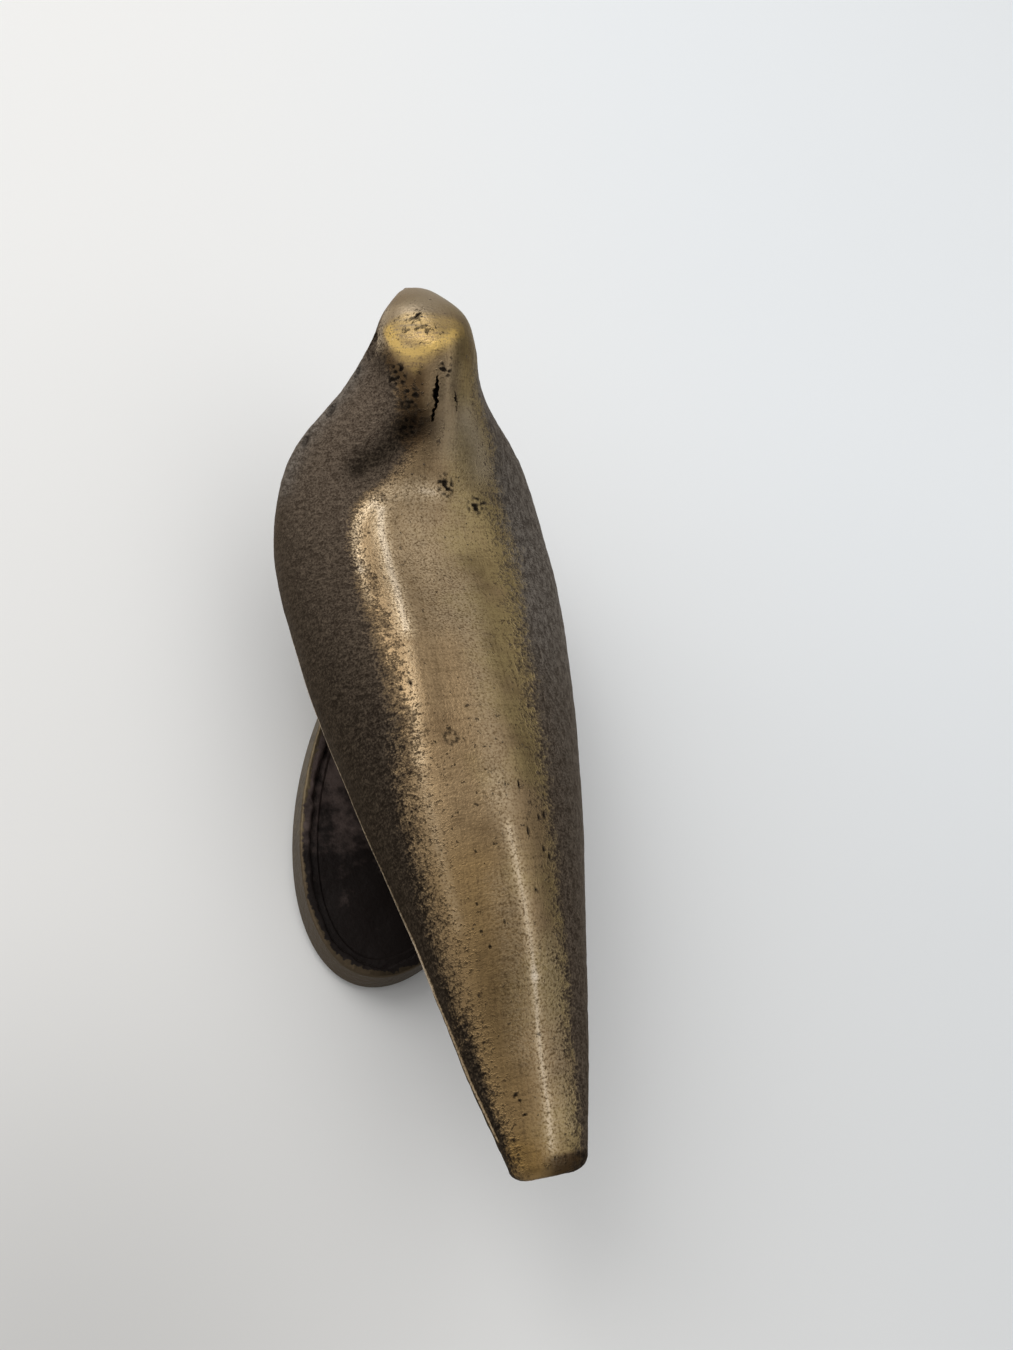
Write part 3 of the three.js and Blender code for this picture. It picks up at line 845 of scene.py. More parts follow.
class SkinRuler:
    """Distances on the skin: round it from the back's middle line, and along it from the tail."""

    def __init__(self, rows: int = 221, columns: int = 181) -> None:
        """Measures the skin on an even net of places and angles.

        Args:
            rows: Places along the bird.
            columns: Angles round it.
        """
        self.along = np.linspace(0, LAST, rows)
        angle = np.radians(np.linspace(-90, 270, columns))
        net = skin(np.repeat(self.along, columns), np.tile(angle, rows)).reshape(rows, columns, 3)
        steps = np.linalg.norm(np.diff(net, axis=1), axis=2)
        round_it = np.concatenate([np.zeros((rows, 1)), np.cumsum(steps, 1)], 1)
        self.across = round_it[:, columns // 2, None] - round_it
        back = np.linalg.norm(np.diff(net[:, columns // 2], axis=0), axis=1)
        self.length = np.concatenate([[0.0], np.cumsum(back)])

    def read(self, along: Array, degrees: Array) -> tuple[Array, Array]:
        """Reads both distances.

        Args:
            along: Places along the bird.
            degrees: Angles round it, from -90 to 270 degrees.

        Returns:
            The distance across, positive on the bird's left, and the distance from the tail.
        """
        rows, columns = self.across.shape
        row, column = along / LAST * (rows - 1), (degrees + 90) / 360 * (columns - 1)
        r, c = np.clip(row.astype(int), 0, rows - 2), np.clip(column.astype(int), 0, columns - 2)
        u, v = row - r, column - c
        low = self.across[r, c] * (1 - v) + self.across[r, c + 1] * v
        high = self.across[r + 1, c] * (1 - v) + self.across[r + 1, c + 1] * v
        return low * (1 - u) + high * u, np.interp(along, self.along, self.length)


# Marks on the bird


class Kind(Enum):
    """What is cut or cast into the skin."""

    EYE = "eye"
    CUT = "cut"
    CRACK = "crack"
    BLOTCH = "blotch"
    RING = "ring"
    PIT = "pit"


PAIRED = (Kind.EYE, Kind.CUT)
SOIL = {Kind.EYE: 0.45, Kind.CUT: 0.5, Kind.CRACK: 1.0, Kind.BLOTCH: 0.9, Kind.RING: 0.6, Kind.PIT: 0.9}


@dataclass(frozen=True)
class Mark:
    """One mark, at a place along the bird and an angle in degrees round it.

    Its length runs towards the tail, turned up by a further angle.
    """

    kind: Kind
    along: float
    around: float
    length: float
    width: float
    depth: float
    turn: float = 0.0

    def reach(self) -> float:
        """How far the mark reaches from its middle, in millimetres."""
        return max(self.length, self.width) / 2 + 0.5

    def frame(self) -> Matrix:
        """Finds the mark's frame: x along it, y across it, z out of the metal.

        Returns:
            The frame's matrix, in millimetres.
        """
        step = 0.01
        here = point(self.along, self.around)
        tailward = (point(self.along - step, self.around) - here).normalized()
        across = (point(self.along, self.around + math.degrees(step)) - here).normalized()
        out = tailward.cross(across).normalized()
        x = Matrix.Rotation(math.radians(self.turn), 3, out) @ tailward
        matrix = Matrix((x, out.cross(x), out)).transposed().to_4x4()
        matrix.translation = here
        return matrix

    def depth_at(self, x: Array, y: Array) -> Array:
        """Finds how deep the mark is.

        Args:
            x: Places along the mark, in millimetres.
            y: Places across it, towards the bird's back.

        Returns:
            Depths in millimetres, 0 outside the mark.
        """
        u, v = 2 * x / self.length, 2 * y / self.width
        radius = np.hypot(u, v)
        if self.kind is Kind.EYE:
            lid = np.clip(1 - u**2, 1e-6, 1)
            dish = np.clip(1 - (v / lid**0.85) ** 2, 0, 1) ** 0.5 * lid**0.3
            ball = np.clip(1 - ((u / 0.52) ** 2 + (v / 0.56) ** 2), 0, 1) ** 0.5
            share = np.maximum(dish - 0.75 * ball, 0)
        elif self.kind is Kind.CUT:
            room = np.clip(1 - u**2, 0, 1)
            share = room**0.5 * np.clip((v + 0.75 * room) / 0.22, 0, 1) * np.clip((room - v) / 1.6, 0, 1)
        elif self.kind is Kind.CRACK:
            wave = 0.50 * np.sin(3.1 * u + 0.6) + 0.25 * np.sin(9.0 * u) + 0.22 * np.sin(23.0 * u)
            gape = 0.30 + 0.70 * np.exp(-(((u + 0.25) / 0.3) ** 2)) + 0.12 * np.sin(31.0 * u)
            share = np.clip(1.15 - np.abs(v - wave) / gape, 0, 1) * np.clip((1 - np.abs(u)) * 6, 0, 1)
        elif self.kind is Kind.RING:
            speckle = np.clip(0.5 + np.sin(9 * u + 2 * v) * np.sin(8 * v - 3 * u), 0, 1)
            share = np.clip(1 - np.abs(radius - 0.75) / 0.35, 0, 1) * speckle
        elif self.kind is Kind.BLOTCH:
            clots = smooth_waves(np.stack([x, y, x * 0 + self.along * 50], 1), 9.0, 41)
            share = np.clip(1.3 * (1 - radius**2), 0, 1) * np.clip(clots * 1.6, 0, 1)
        else:
            share = np.clip(1 - radius**2, 0, 1)
        return self.depth * share


# Each kind's marks: along, around, length, width, depth and turn
MARK_TABLE: dict[Kind, tuple[tuple[float, ...], ...]] = {
    Kind.EYE: ((7.93, 5, 5.0, 2.9, 0.85, 31),),
    Kind.CUT: ((7.3, 4, 3.4, 2.2, 0.55, 25), (6.66, 8, 4.4, 2.5, 0.7, 30), (6.25, 7, 4.6, 2.5, 0.65, 32)),
    Kind.CRACK: ((6.85, 77, 7.0, 0.85, 0.8), (6.85, 106, 3.2, 0.7, 0.4)),
    Kind.BLOTCH: (
        (5.72, 93, 4.0, 2.9, 0.22), (7.2, 42, 4.6, 4.0, 0.10), (6.85, 56, 4.2, 3.6, 0.12),
        (6.45, 62, 3.4, 3.4, 0.12), (7.35, 86, 2.8, 2.2, 0.10), (8.62, 62, 2.0, 1.6, 0.08),
        (5.5, 108, 3.2, 4.2, 0.10), (0.62, 65, 1.6, 1.1, 0.08), (0.42, 69, 1.4, 1.0, 0.08),
    ),
    Kind.RING: ((3.28, 70, 2.3, 2.2, 0.08),),
    Kind.PIT: (
        (3.69, 56, 0.6, 0.9, 0.3), (3.72, 61, 1.0, 0.5, 0.3), (2.88, 95, 1.1, 0.4, 0.35),
        (2.64, 104, 1.0, 0.5, 0.3), (2.66, 108, 1.2, 0.6, 0.35), (2.54, 96, 1.3, 0.35, 0.3),
        (2.41, 105, 0.9, 0.5, 0.3), (2.36, 109, 0.8, 0.6, 0.3), (2.12, 96, 0.8, 0.3, 0.2, 35),
        (2.45, 66, 0.4, 0.35, 0.15), (2.11, 59, 0.4, 0.35, 0.15), (1.91, 58, 0.45, 0.4, 0.2),
        (1.79, 62, 0.7, 0.4, 0.2),
    ),
}
MARKS = [Mark(kind, *row) for kind, rows in MARK_TABLE.items() for row in rows]
MARKS += [replace(mark, around=180 - mark.around, turn=-mark.turn) for mark in MARKS if mark.kind in PAIRED]


class Touch(Enum):
    """What a stroke does to the skin that it runs over."""

    WEAR = "wear"
    POLISH = "polish_and_highlight"
    TARNISH = "tarnish_and_shade"
    PRESS = "press"
    GOLD = "gold"
    FILM = "film"
    BLOOM = "bloom"
    HONEY = "honey"


# The lower edges of the left flank and of the tail: worn bare, with a thin painted highlight line
FLANK_EDGE = ((4.4, -8), (3.8, -8), (3.06, -7), (2.4, -6), (2.0, -3), (1.73, -1))
TAIL_EDGE = ((1.7, -1), (1.3, 1), (0.8, 3), (0.3, 4))

# Each touch's strokes: width, amount, and the path through places along the bird and angles round it
STROKES: dict[Touch, tuple[tuple[float, float, Table], ...]] = {
    # Polished lines with painted highlights: streaks on the ridge and shoulders, the back's front edge, the
    # lower edges and the crown
    Touch.POLISH: (
        (2.2, 0.34, ((4.6, 92), (3.94, 90), (3.5, 88), (2.8, 86))),
        (1.8, 0.25, ((2.9, 85), (2.2, 87), (1.54, 90), (1.0, 90), (0.55, 90), (0.1, 89))),
        (0.7, 0.8, ((2.6, 86), (2.2, 87), (1.54, 90))),
        (0.6, 0.85, ((1.54, 90), (1.0, 90), (0.55, 90), (0.1, 89))),
        (0.9, 0.95, ((5.5, 60), (5.34, 57), (5.2, 56), (5.0, 57), (4.75, 58))),
        (0.6, 0.5, ((4.75, 58), (4.45, 57))),
        (1.1, 1.15, ((5.4, 65), (4.92, 70), (4.56, 70), (4.3, 68), (4.15, 67))),
        (0.9, 0.3, ((4.0, 66), (3.58, 60), (3.17, 53))),
        (0.8, 0.25, ((3.17, 53), (2.9, 50), (2.4, 46), (2.0, 43))),
        (0.9, 0.3, ((5.64, 82), (5.6, 90))),
        (1.5, 0.65, ((5.6, 66), (5.66, 76), (5.64, 86))),
        (2.0, 0.35, ((1.7, 104), (1.0, 106), (0.3, 106))),
        (1.8, 0.22, ((2.2, 74), (1.6, 76), (1.0, 77))),
        (4.5, 0.2, ((5.9, 105), (5.3, 95), (4.8, 88))),
        (4.5, 0.42, ((5.3, 80), (4.8, 82), (4.3, 84))),
        (0.42, 1.7, FLANK_EDGE),
        (0.26, 1.2, TAIL_EDGE),
        (0.8, 1.2, ((8.15, 25), (7.95, 32))),
        (0.5, 0.7, ((7.8, 40), (7.66, 56))),
        (0.4, 0.8, ((7.72, 66), (7.95, 90))),
    ),
    Touch.WEAR: (
        (0.42, 6.0, FLANK_EDGE),
        (0.26, 5.0, TAIL_EDGE),
        (1.5, -0.5, ((6.15, 58), (6.1, 64))),
        (1.7, -1.1, ((7.45, 25), (7.1, 35), (6.75, 44))),
        (0.6, -0.8, ((5.55, 60), (5.53, 65))),
        (0.7, -0.7, ((4.7, 63), (4.45, 62), (4.2, 60))),
        (1.3, -0.6, ((1.3, 25), (0.8, 22), (0.3, 15))),
    ),
    Touch.HONEY: (
        (5.0, 0.55, ((2.3, 62), (1.5, 60), (0.8, 58), (0.1, 60))),
        (2.0, 0.6, ((0.1, 40), (0.0, 70))),
    ),
    Touch.FILM: (
        (4.5, 0.85, ((10.8, 90), (10.0, 90), (9.3, 90), (8.9, 60))),
        (1.6, 0.8, ((8.9, 10), (8.3, 8), (7.9, 14))),
        (2.2, 0.32, ((7.3, 94), (6.9, 92), (6.5, 94), (6.2, 98))),
        (2.8, 0.75, ((6.6, 118), (6.3, 124), (6.0, 122))),
    ),
    Touch.BLOOM: (
        (2.6, 0.75, ((7.3, 2), (6.9, 3), (6.5, 4), (6.1, 4), (5.7, 4))),
        (3.0, 0.5, ((8.2, 150), (7.4, 150), (6.8, 145))),
    ),
    # Painted highlight along the lower edge of the crown's gold
    Touch.GOLD: (
        (0.65, 0.85, ((8.22, 23), (7.95, 31), (7.72, 43), (7.62, 54), (7.72, 68), (7.92, 87), (8.15, 102))),
        (1.2, 0.5, ((8.15, 24), (8.0, 32))),
    ),
    # Tarnished patches with painted shade: darker strokes in the crease between neck and back, beside the
    # nape's keel and on the crown's top
    Touch.TARNISH: (
        (0.7, 0.5, ((8.7, 50), (8.7, 80))),
        (1.6, 0.8, ((8.5, 34), (8.45, 50), (8.4, 62))),
        (1.3, 0.75, ((8.28, 48), (8.24, 60), (8.14, 72))),
        (2.2, 1.35, ((6.45, 75), (6.37, 68), (6.24, 59), (6.08, 53), (5.92, 45))),
        (2.0, 1.0, ((7.6, 26), (7.2, 44), (6.9, 52), (6.5, 58))),
        (1.6, 0.8, ((7.25, 60), (6.9, 62), (6.5, 66))),
        (2.0, 0.35, ((8.5, 130), (8.0, 130), (7.4, 128))),
        (4.5, 0.22, ((3.3, 72), (2.6, 70))),
        (0.6, 0.6, ((5.55, 60), (5.53, 65))),
    ),
    Touch.PRESS: (
        (2.2, 0.50, ((6.55, 84), (6.4, 66), (6.2, 54), (6.0, 46))),
        (2.2, 0.30, ((7.3, 24), (6.9, 30), (6.5, 36))),
        (2.2, 0.22, ((8.3, 60), (8.35, 90))),
        (1.6, 0.25, ((7.2, 40), (7.1, 56))),
    ),
}


def stroked(points: Array, touch: Touch) -> Array:
    """Adds up the strokes of one touch, each of which falls off over its width.

    Args:
        points: Points near the skin, in millimetres.
        touch: The touch.

    Returns:
        The strokes' sum at each point.
    """
    total = np.zeros(len(points))
    for width, amount, path in STROKES[touch]:
        fine = np.linspace(0, len(path) - 1, 10 * (len(path) - 1) + 1)
        along, around = (np.interp(fine, range(len(path)), column) for column in zip(*path))
        line = skin(along, np.radians(around))
        nearest = np.full(len(points), np.inf)
        for start, end in zip(line, line[1:]):
            run = end - start
            share = np.clip((points - start) @ run / max(run @ run, 1e-9), 0, 1)
            nearest = np.minimum(nearest, ((points - start - share[:, None] * run) ** 2).sum(1))
        total = total + amount * np.exp(-nearest / width**2)
    return total


# The pieces


@dataclass
class BirdCasting:
    """Head, breast, body and tail in one casting, with its belly boss."""

    tail_round: float = 1.8
    tail_corner: float = 2.4
    beak_round: float = 0.6
    ring_points: int = 256
    rings_per_section: int = 18
    boss_radius: float = 6.7
    boss_wall: float = 0.5
    boss_flare: float = 2.6
    boss_flare_height: float = 4.0
    boss_root: float = 3.5
    socket_radius: float = 4.1
    socket_depth: float = 1.4
    screw_hole_radius: float = 2.25
    screw_hole_depth: float = 10.5
    drill_point: float = 1.3
    # How dark the painted shade on the tail's end face is
    end_face_shade: float = 1.25
    casting_waves: float = 0.04
    casting_grain: float = 0.035
    finish: Finish = CastBrass()

    # The crown's gold by the angle round the head; the rest by the place along the bird
    crown_lower: Table = (
        (0, 9.2), (16, 8.2), (34, 7.68), (44, 7.46), (55, 7.28), (67, 7.46), (88, 7.72), (118, 8.15),
        (130, 9.2),
    )
    crown_upper: Table = ((16, 8.4), (21, 8.5), (46, 8.7), (77, 8.68), (107, 8.6), (124, 8.35))
    worn_left: Table = (
        (0, 16), (0.7, 22), (1.5, 24), (1.9, 26), (2.25, 29), (2.6, 33), (2.9, 38), (3.1, 43), (3.3, 48),
        (3.5, 50), (3.8, 53), (4.1, 54), (4.45, 55), (4.75, 57), (5.1, 55), (5.35, 53), (5.55, 54), (5.7, 61),
        (5.9, 66), (6.2, 63), (6.4, 60), (6.8, 44), (7.05, 36), (7.5, 22), (8, 12), (8.6, 4), (9.4, -20),
        (11, -50),
    )
    worn_right: Table = (
        (0, 121), (0.5, 119), (1.3, 116), (2, 112), (2.8, 110), (3.5, 110), (4, 111), (4.4, 113), (5.3, 119),
        (5.8, 126), (6.4, 138), (7.2, 143), (8, 156), (8.6, 168), (9.4, 190), (11, 220),
    )
    fade_left: Table = (
        (0, 1.8), (1, 2.8), (2, 3.6), (3, 3.6), (3.8, 2.4), (4.5, 1.8), (5.4, 1.5), (5.9, 2.2), (6.4, 3.4),
        (7.5, 3), (11, 2.5),
    )
    fade_right: Table = ((0, 1.4), (2.5, 2.2), (4, 3), (5, 3.4), (6.2, 3.8), (11, 3.2))
    shoulder_line: Table = (
        (0, 28), (1, 36), (2, 43), (2.5, 47), (3, 50), (3.5, 58), (4, 65), (4.4, 69), (5, 69), (11, 70),
    )
    plane_depth: Table = (
        (0, 0.06), (0.5, 0.14), (1, 0.2), (2, 0.3), (3, 0.36), (4, 0.26), (4.6, 0.2), (5.3, 0.1), (5.8, 0),
        (11, 0),
    )
    # Painted dark reflection on the left flank, by the place along the bird
    dark_reflection_left: Table = (
        (0, 0.9), (1.5, 0.9), (2.6, 0.85), (3.5, 0.78), (4.2, 0.6), (5, 0.45), (5.6, 0.18), (6.6, 0),
        (11, 0.1),
    )
    bloom_right: Table = (
        (0, 0.3), (2, 0.3), (3, 0.36), (3.6, 0.5), (4.2, 0.9), (5, 1), (6.2, 0.9), (6.8, 0.4), (7.6, 0.2),
        (11, 0.2),
    )

    def build(self) -> None:
        """Builds the bird and puts it in the casting's place."""
        cuts = [3, 5] + [self.rings_per_section] * LAST + [3, 2]
        bird = ring_tower("dove_casting", self.ring_points, cuts)
        settle(bird, self.settle_level)
        close_up(bird)
        self.refine_marks(bird)
        level, c, s = read(bird.data.attributes["lattice"].data, "vector").T
        along = np.clip(level - 2, 0, LAST)
        degrees = np.degrees(np.mod(np.arctan2(s, c) + math.pi / 2, 2 * math.pi)) - 90
        self.plane_back(bird, along, degrees)
        self.paint_wear(bird, along, degrees, self.press_marks(bird))
        self.roughen(bird)
        carve(bird, self.belly_boss(), "UNION")
        carve(bird, self.boss_holes(), "DIFFERENCE")
        back = np.linspace(0, LAST, 2000)
        highest = skin(back, back * 0 + math.pi / 2)[:, 2].max()
        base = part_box("bird_casting")[1].z - highest * MM
        bird.data.transform(Matrix.Translation((0, 0, base)))
        finish_piece(bird, self.finish, "bird_casting")

    def settle_level(self, level: Array, angle: Array) -> Array:
        """Finds the point for a level of the ring tower that the bird is made from.

        Level 0 is the centre of the tail's end face, 1 its edge, 2 the tail's first full ring. The
        beak's tip ends the same way: its last full ring, its rounding and its centre.

        Args:
            level: Levels of the tower.
            angle: Angles round it, in radians.

        Returns:
            The points, in millimetres.
        """
        along = np.clip(level - 2, 0, LAST)
        before = np.clip(2 - level, 0, 1) * math.pi / 2
        after = np.clip(level - 2 - LAST, 0, 1) * math.pi / 2
        beak_inset = self.beak_round * (1 - np.cos(after))
        inset = self.tail_round * (1 - np.cos(before)) + beak_inset
        side_inset = self.tail_corner * (1 - np.cos(before)) + beak_inset
        points = skin(along, angle, inset, side_inset)
        points[:, 1] += self.tail_round * np.sin(before) - self.beak_round * np.sin(after)
        centre = (skin(along, angle * 0 + math.pi / 2) + skin(along, angle * 0 - math.pi / 2)) / 2
        centre[:, 1] = points[:, 1]
        closing = np.clip(1 - level, 0, 1) + np.clip(level - 3 - LAST, 0, 1)
        return points + (centre - points) * closing[:, None]

    def refine_marks(self, bird: Piece) -> None:
        """Cuts the faces round each mark finer, so that the mark has room in the mesh.

        Args:
            bird: The bird's skin, before it is moved to its place.
        """
        lone(bird)
        bpy.ops.object.mode_set(mode="EDIT")
        bpy.ops.mesh.select_all(action="DESELECT")
        bpy.ops.mesh.select_mode(type="FACE")
        mesh = bmesh.from_edit_mesh(bird.data)
        centres = np.array([face.calc_center_median() for face in mesh.faces]) / MM
        near = np.zeros(len(centres), bool)
        for mark in MARKS:
            near |= np.linalg.norm(centres - np.array(point(mark.along, mark.around)), axis=1) < mark.reach()
        for face, wanted in zip(mesh.faces, near):
            face.select = bool(wanted)
        bmesh.update_edit_mesh(bird.data)
        bpy.ops.mesh.subdivide(number_cuts=2)
        bpy.ops.object.mode_set(mode="OBJECT")

    def press_marks(self, bird: Piece) -> Array:
        """Presses the marks into the skin.

        Args:
            bird: The bird's skin.

        Returns:
            How much dirt sits at each vertex, from 0 to 1.
        """
        points = points_of(bird)
        dirt = np.zeros(len(points))
        for mark in MARKS:
            matrix = mark.frame()
            inverse = np.array(matrix.inverted())
            x, y, z = (points @ inverse[:3, :3].T + inverse[:3, 3]).T
            flip = -1.0 if mark.around > 90 and mark.kind in PAIRED else 1.0
            depth = mark.depth_at(x, y * flip)
            depth[(np.abs(z) > 3) | (np.hypot(x, y) > 2 * mark.reach())] = 0
            points -= depth[:, None] * np.array(matrix.to_3x3().col[2])
            dirt = np.maximum(dirt, np.clip(depth / mark.depth * 1.3, 0, 1) * SOIL[mark.kind])
        move(bird, points)
        return dirt

    def paint_wear(self, bird: Piece, along: Array, degrees: Array, dirt: Array) -> None:
        """Stores what the finish reads: the wear, the brush directions, the dirt, the gold, the painted
        highlights, the painted shade and the rest.

        Args:
            bird: The bird's skin.
            along: Places along the bird.
            degrees: Angles round it.
            dirt: Dirt at each vertex.
        """
        ruler = SkinRuler()
        across, length = ruler.read(along, degrees)
        left, _ = ruler.read(along, interp(along, self.worn_left))
        right, _ = ruler.read(along, interp(along, self.worn_right))
        from_left = (left - across) / interp(along, self.fade_left)
        from_right = (across - right) / interp(along, self.fade_right)
        lower, upper = interp(degrees, self.crown_lower), interp(degrees, self.crown_upper)
        wedge = smooth_step(along - lower, -0.12, 0.10) * smooth_step(upper - along, -0.10, 0.14)
        points = points_of(bird)
        touched = {touch: stroked(points, touch) for touch in Touch if touch is not Touch.PRESS}
        # Painted shade on the right half of the tail's end face
        end_face = (along <= 0) * smooth_step(-points[:, 0], -3.0, 1.0)
        bloomed = interp(along, self.bloom_right) * smooth_step(-across, 4, 13)
        # Besides real wear and dirt, the gold and polished lines carry painted highlights, the tarnished
        # patches painted shade, and the lower left flank a painted dark reflection
        layers = {
            "wear": np.clip(np.minimum(from_left, from_right), -3.5, 2.5) + touched[Touch.WEAR],
            "dirt": dirt,
            "gold": wedge * (0.42 + touched[Touch.GOLD]),
            "polish_and_highlight": touched[Touch.POLISH],
            "age": interp(along, self.dark_reflection_left) * smooth_step(across, -4, 3),
            "tarnish_and_shade": touched[Touch.TARNISH] + end_face * self.end_face_shade,
            "film": touched[Touch.FILM],
            "bloom": bloomed + touched[Touch.BLOOM],
            "honey": touched[Touch.HONEY],
            "brush": np.stack([across, length, across * 0], 1),
        }
        for name, values in layers.items():
            paint(bird, name, values)

    def plane_back(self, bird: Piece, along: Array, degrees: Array) -> None:
        """Planes the back on both sides of its ridge, down to the shoulder lines.

        Args:
            bird: The bird's skin.
            along: Places along the bird.
            degrees: Angles round it.
        """
        line = interp(along, self.shoulder_line)
        share = np.clip((90 - abs(90 - degrees) - line) / (90 - line), 0, 1)
        depth = interp(along, self.plane_depth) * np.sin(math.pi * share) ** 2
        push_in(bird, depth + stroked(points_of(bird), Touch.PRESS))

    def roughen(self, bird: Piece) -> None:
        """Gives the skin the slow waves and the coarse grain that the mould leaves.

        Args:
            bird: The bird's skin.
        """
        points = points_of(bird)
        wear = read(bird.data.attributes["wear"].data, "value", 1)[:, 0]
        waves = (1 + smooth_waves(points, 0.9, 7)).clip(0, 2)
        grain = (1 + smooth_waves(points, 5.0, 11)).clip(0, 2) * np.clip(0.5 - wear / 2, 0, 1)
        push_in(bird, waves * self.casting_waves + grain * self.casting_grain)

    def belly_boss(self) -> Piece:
        """Builds the boss under the belly, flared into the casting.

        Returns:
            The boss, a solid of its own.
        """
        radius, wall = self.boss_radius, self.boss_wall
        out, up = self.boss_flare, self.boss_flare_height
        flare = [(radius + out * run, wall + up * rise) for run, rise in quarter(8)]
        wide, root = radius + out, wall + up + self.boss_root
        return turn_profile("belly_boss", [(0, 0), (radius, 0), *flare, (wide, root), (0, root)], OUTER_STEPS)

    def boss_holes(self) -> Piece:
        """Builds what is cut out of the boss.

        Returns:
            The socket for the stem's spigot and the drilled hole for the screw, as one solid.
        """
        wide, socket, hole = self.socket_radius, self.socket_depth, self.screw_hole_radius
        profile = [
            (0, BELOW_FACE), (wide, BELOW_FACE), (wide, socket), (hole, socket),
            (hole, self.screw_hole_depth), (0, self.screw_hole_depth + self.drill_point),
        ]
        return turn_profile("boss_holes", profile, HOLE_STEPS)


@dataclass
class FootCasting:
    """The oval foot: drafted wall, rounded rim, ledge, dished floor and the stem's seat."""

    length: float = 73.5
    width: float = 35.5
    height: float = 4.2
    draft: float = 0.5
    lower_chamfer: float = 0.4
    turn_degrees: float = -24.2
    rim_width: float = 1.7
    rim_round: float = 0.45
    dish_depth: float = 1.5
    ledge_width: float = 1.1
    ledge_height: float = 0.35
    seat_root: float = 1.0
    seat_radius: float = 7.6
    seat_rise: float = 1.3
    seat_fillet: float = 1.1
    head_hole_radius: float = 3.9
    head_hole_depth: float = 2.6
    screw_hole_radius: float = 2.25
    finish: Finish = FootBrass()

    def profile(self) -> list[Point2]:
        """Draws the wall from the underside's edge to the dish.

        Returns:
            Insets and heights.
        """
        rim_in = self.draft + self.rim_width
        floor = self.height - self.dish_depth
        ledge = floor + self.ledge_height
        rim = [(self.rim_round * run, self.height - self.rim_round * (1 - rise)) for run, rise in quarter(6)]
        return [
            (self.lower_chamfer, 0.0),
            (0.0, self.lower_chamfer),
            *((self.draft + inset, height) for inset, height in rim),
            *((rim_in - inset, height) for inset, height in reversed(rim)),
            (rim_in + self.ledge_height / 2, ledge),
            (rim_in + self.ledge_width, ledge),
            (rim_in + self.ledge_width + self.ledge_height, floor),
        ]

    def build(self) -> None:
        """Builds the foot and puts it in its casting's place."""
        profile = self.profile()
        rings = [(0.0, 0.0, 0.0), *((*pair, 1.0) for pair in profile), (*profile[-1], 0.0)]
        cuts = [6] + [2] * (len(rings) - 3) + [24]
        foot = oval_tower("oval_foot", cuts, rings, self.length, self.width)
        self.paint_wear(foot)
        self.roughen(foot)
        close_up(foot)
        carve(foot, self.seat(), "UNION")
        carve(foot, self.holes(), "DIFFERENCE")
        turn = Matrix.Rotation(math.radians(self.turn_degrees), 4, "Z")
        foot.data.transform(Matrix.Translation((0, 0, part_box("foot_casting")[0].z)) @ turn)
        finish_piece(foot, self.finish, "foot_casting")

    def insets(self, points: Array) -> Array:
        """How far each point, in millimetres, lies inside the foot's outline."""
        reach = np.hypot(points[:, 0] / self.width * 2, points[:, 1] / self.length * 2)
        return np.hypot(points[:, 0], points[:, 1]) * (1 / np.maximum(reach, 0.05) - 1)

    def paint_wear(self, foot: Piece) -> None:
        """Stores how far each point lies outside the dark dish.

        Args:
            foot: The foot, before its points are merged.
        """
        points = points_of(foot)
        angle = np.arctan2(points[:, 1], points[:, 0])
        ragged = 0.5 * np.sin(5 * angle + 0.4) + 0.35 * np.sin(13 * angle) + 0.25 * np.sin(29 * angle + 1)
        wear = self.draft + self.rim_width * 0.46 - self.insets(points) + 0.30 * ragged
        paint(foot, "wear", np.clip(wear, -4, 2.5))

    def roughen(self, foot: Piece) -> None:
        """Gives the dish and the rim the uneven surface of a casting.

        Args:
            foot: The foot, before its points are merged.
        """
        points = points_of(foot)
        upper = np.clip(points[:, 2] - 1.0, 0, 1)
        points[:, 2] += (smooth_waves(points, 0.8, 23) * 0.07 + smooth_waves(points, 2.6, 29) * 0.05) * upper
        flash = np.exp(-(((self.insets(points) - self.draft - self.rim_width) / 0.6) ** 2)) * upper
        flash *= 0.16 * smooth_waves(points, 2.2, 31) + 0.10 * smooth_waves(points, 6.0, 37)
        points[:, :2] *= 1 + (flash / np.maximum(np.hypot(points[:, 0], points[:, 1]), 1.0))[:, None]
        move(foot, points)

    def seat(self) -> Piece:
        """Builds the raised seat for the stem.

        Returns:
            The seat, a solid of its own.
        """
        floor, outer = self.height - self.dish_depth, self.seat_radius + self.seat_fillet
        fillet = [(outer - self.seat_fillet * rise, floor + self.seat_rise * run) for run, rise in quarter(6)]
        profile = [(0, self.seat_root), (outer, self.seat_root), *fillet, (0, floor + self.seat_rise)]
        return turn_profile("seat", profile, OUTER_STEPS)

    def holes(self) -> Piece:
        """Builds what is cut out of the foot.

        Returns:
            The counterbore for the screw's head and the hole for its shank, as one solid.
        """
        bore, depth, hole = self.head_hole_radius, self.head_hole_depth, self.screw_hole_radius
        above = self.height + self.seat_rise
        profile = [(0, BELOW_FACE), (bore, BELOW_FACE), (bore, depth), (hole, depth), (hole, above), (0, above)]
        return turn_profile("foot_holes", profile, HOLE_STEPS)


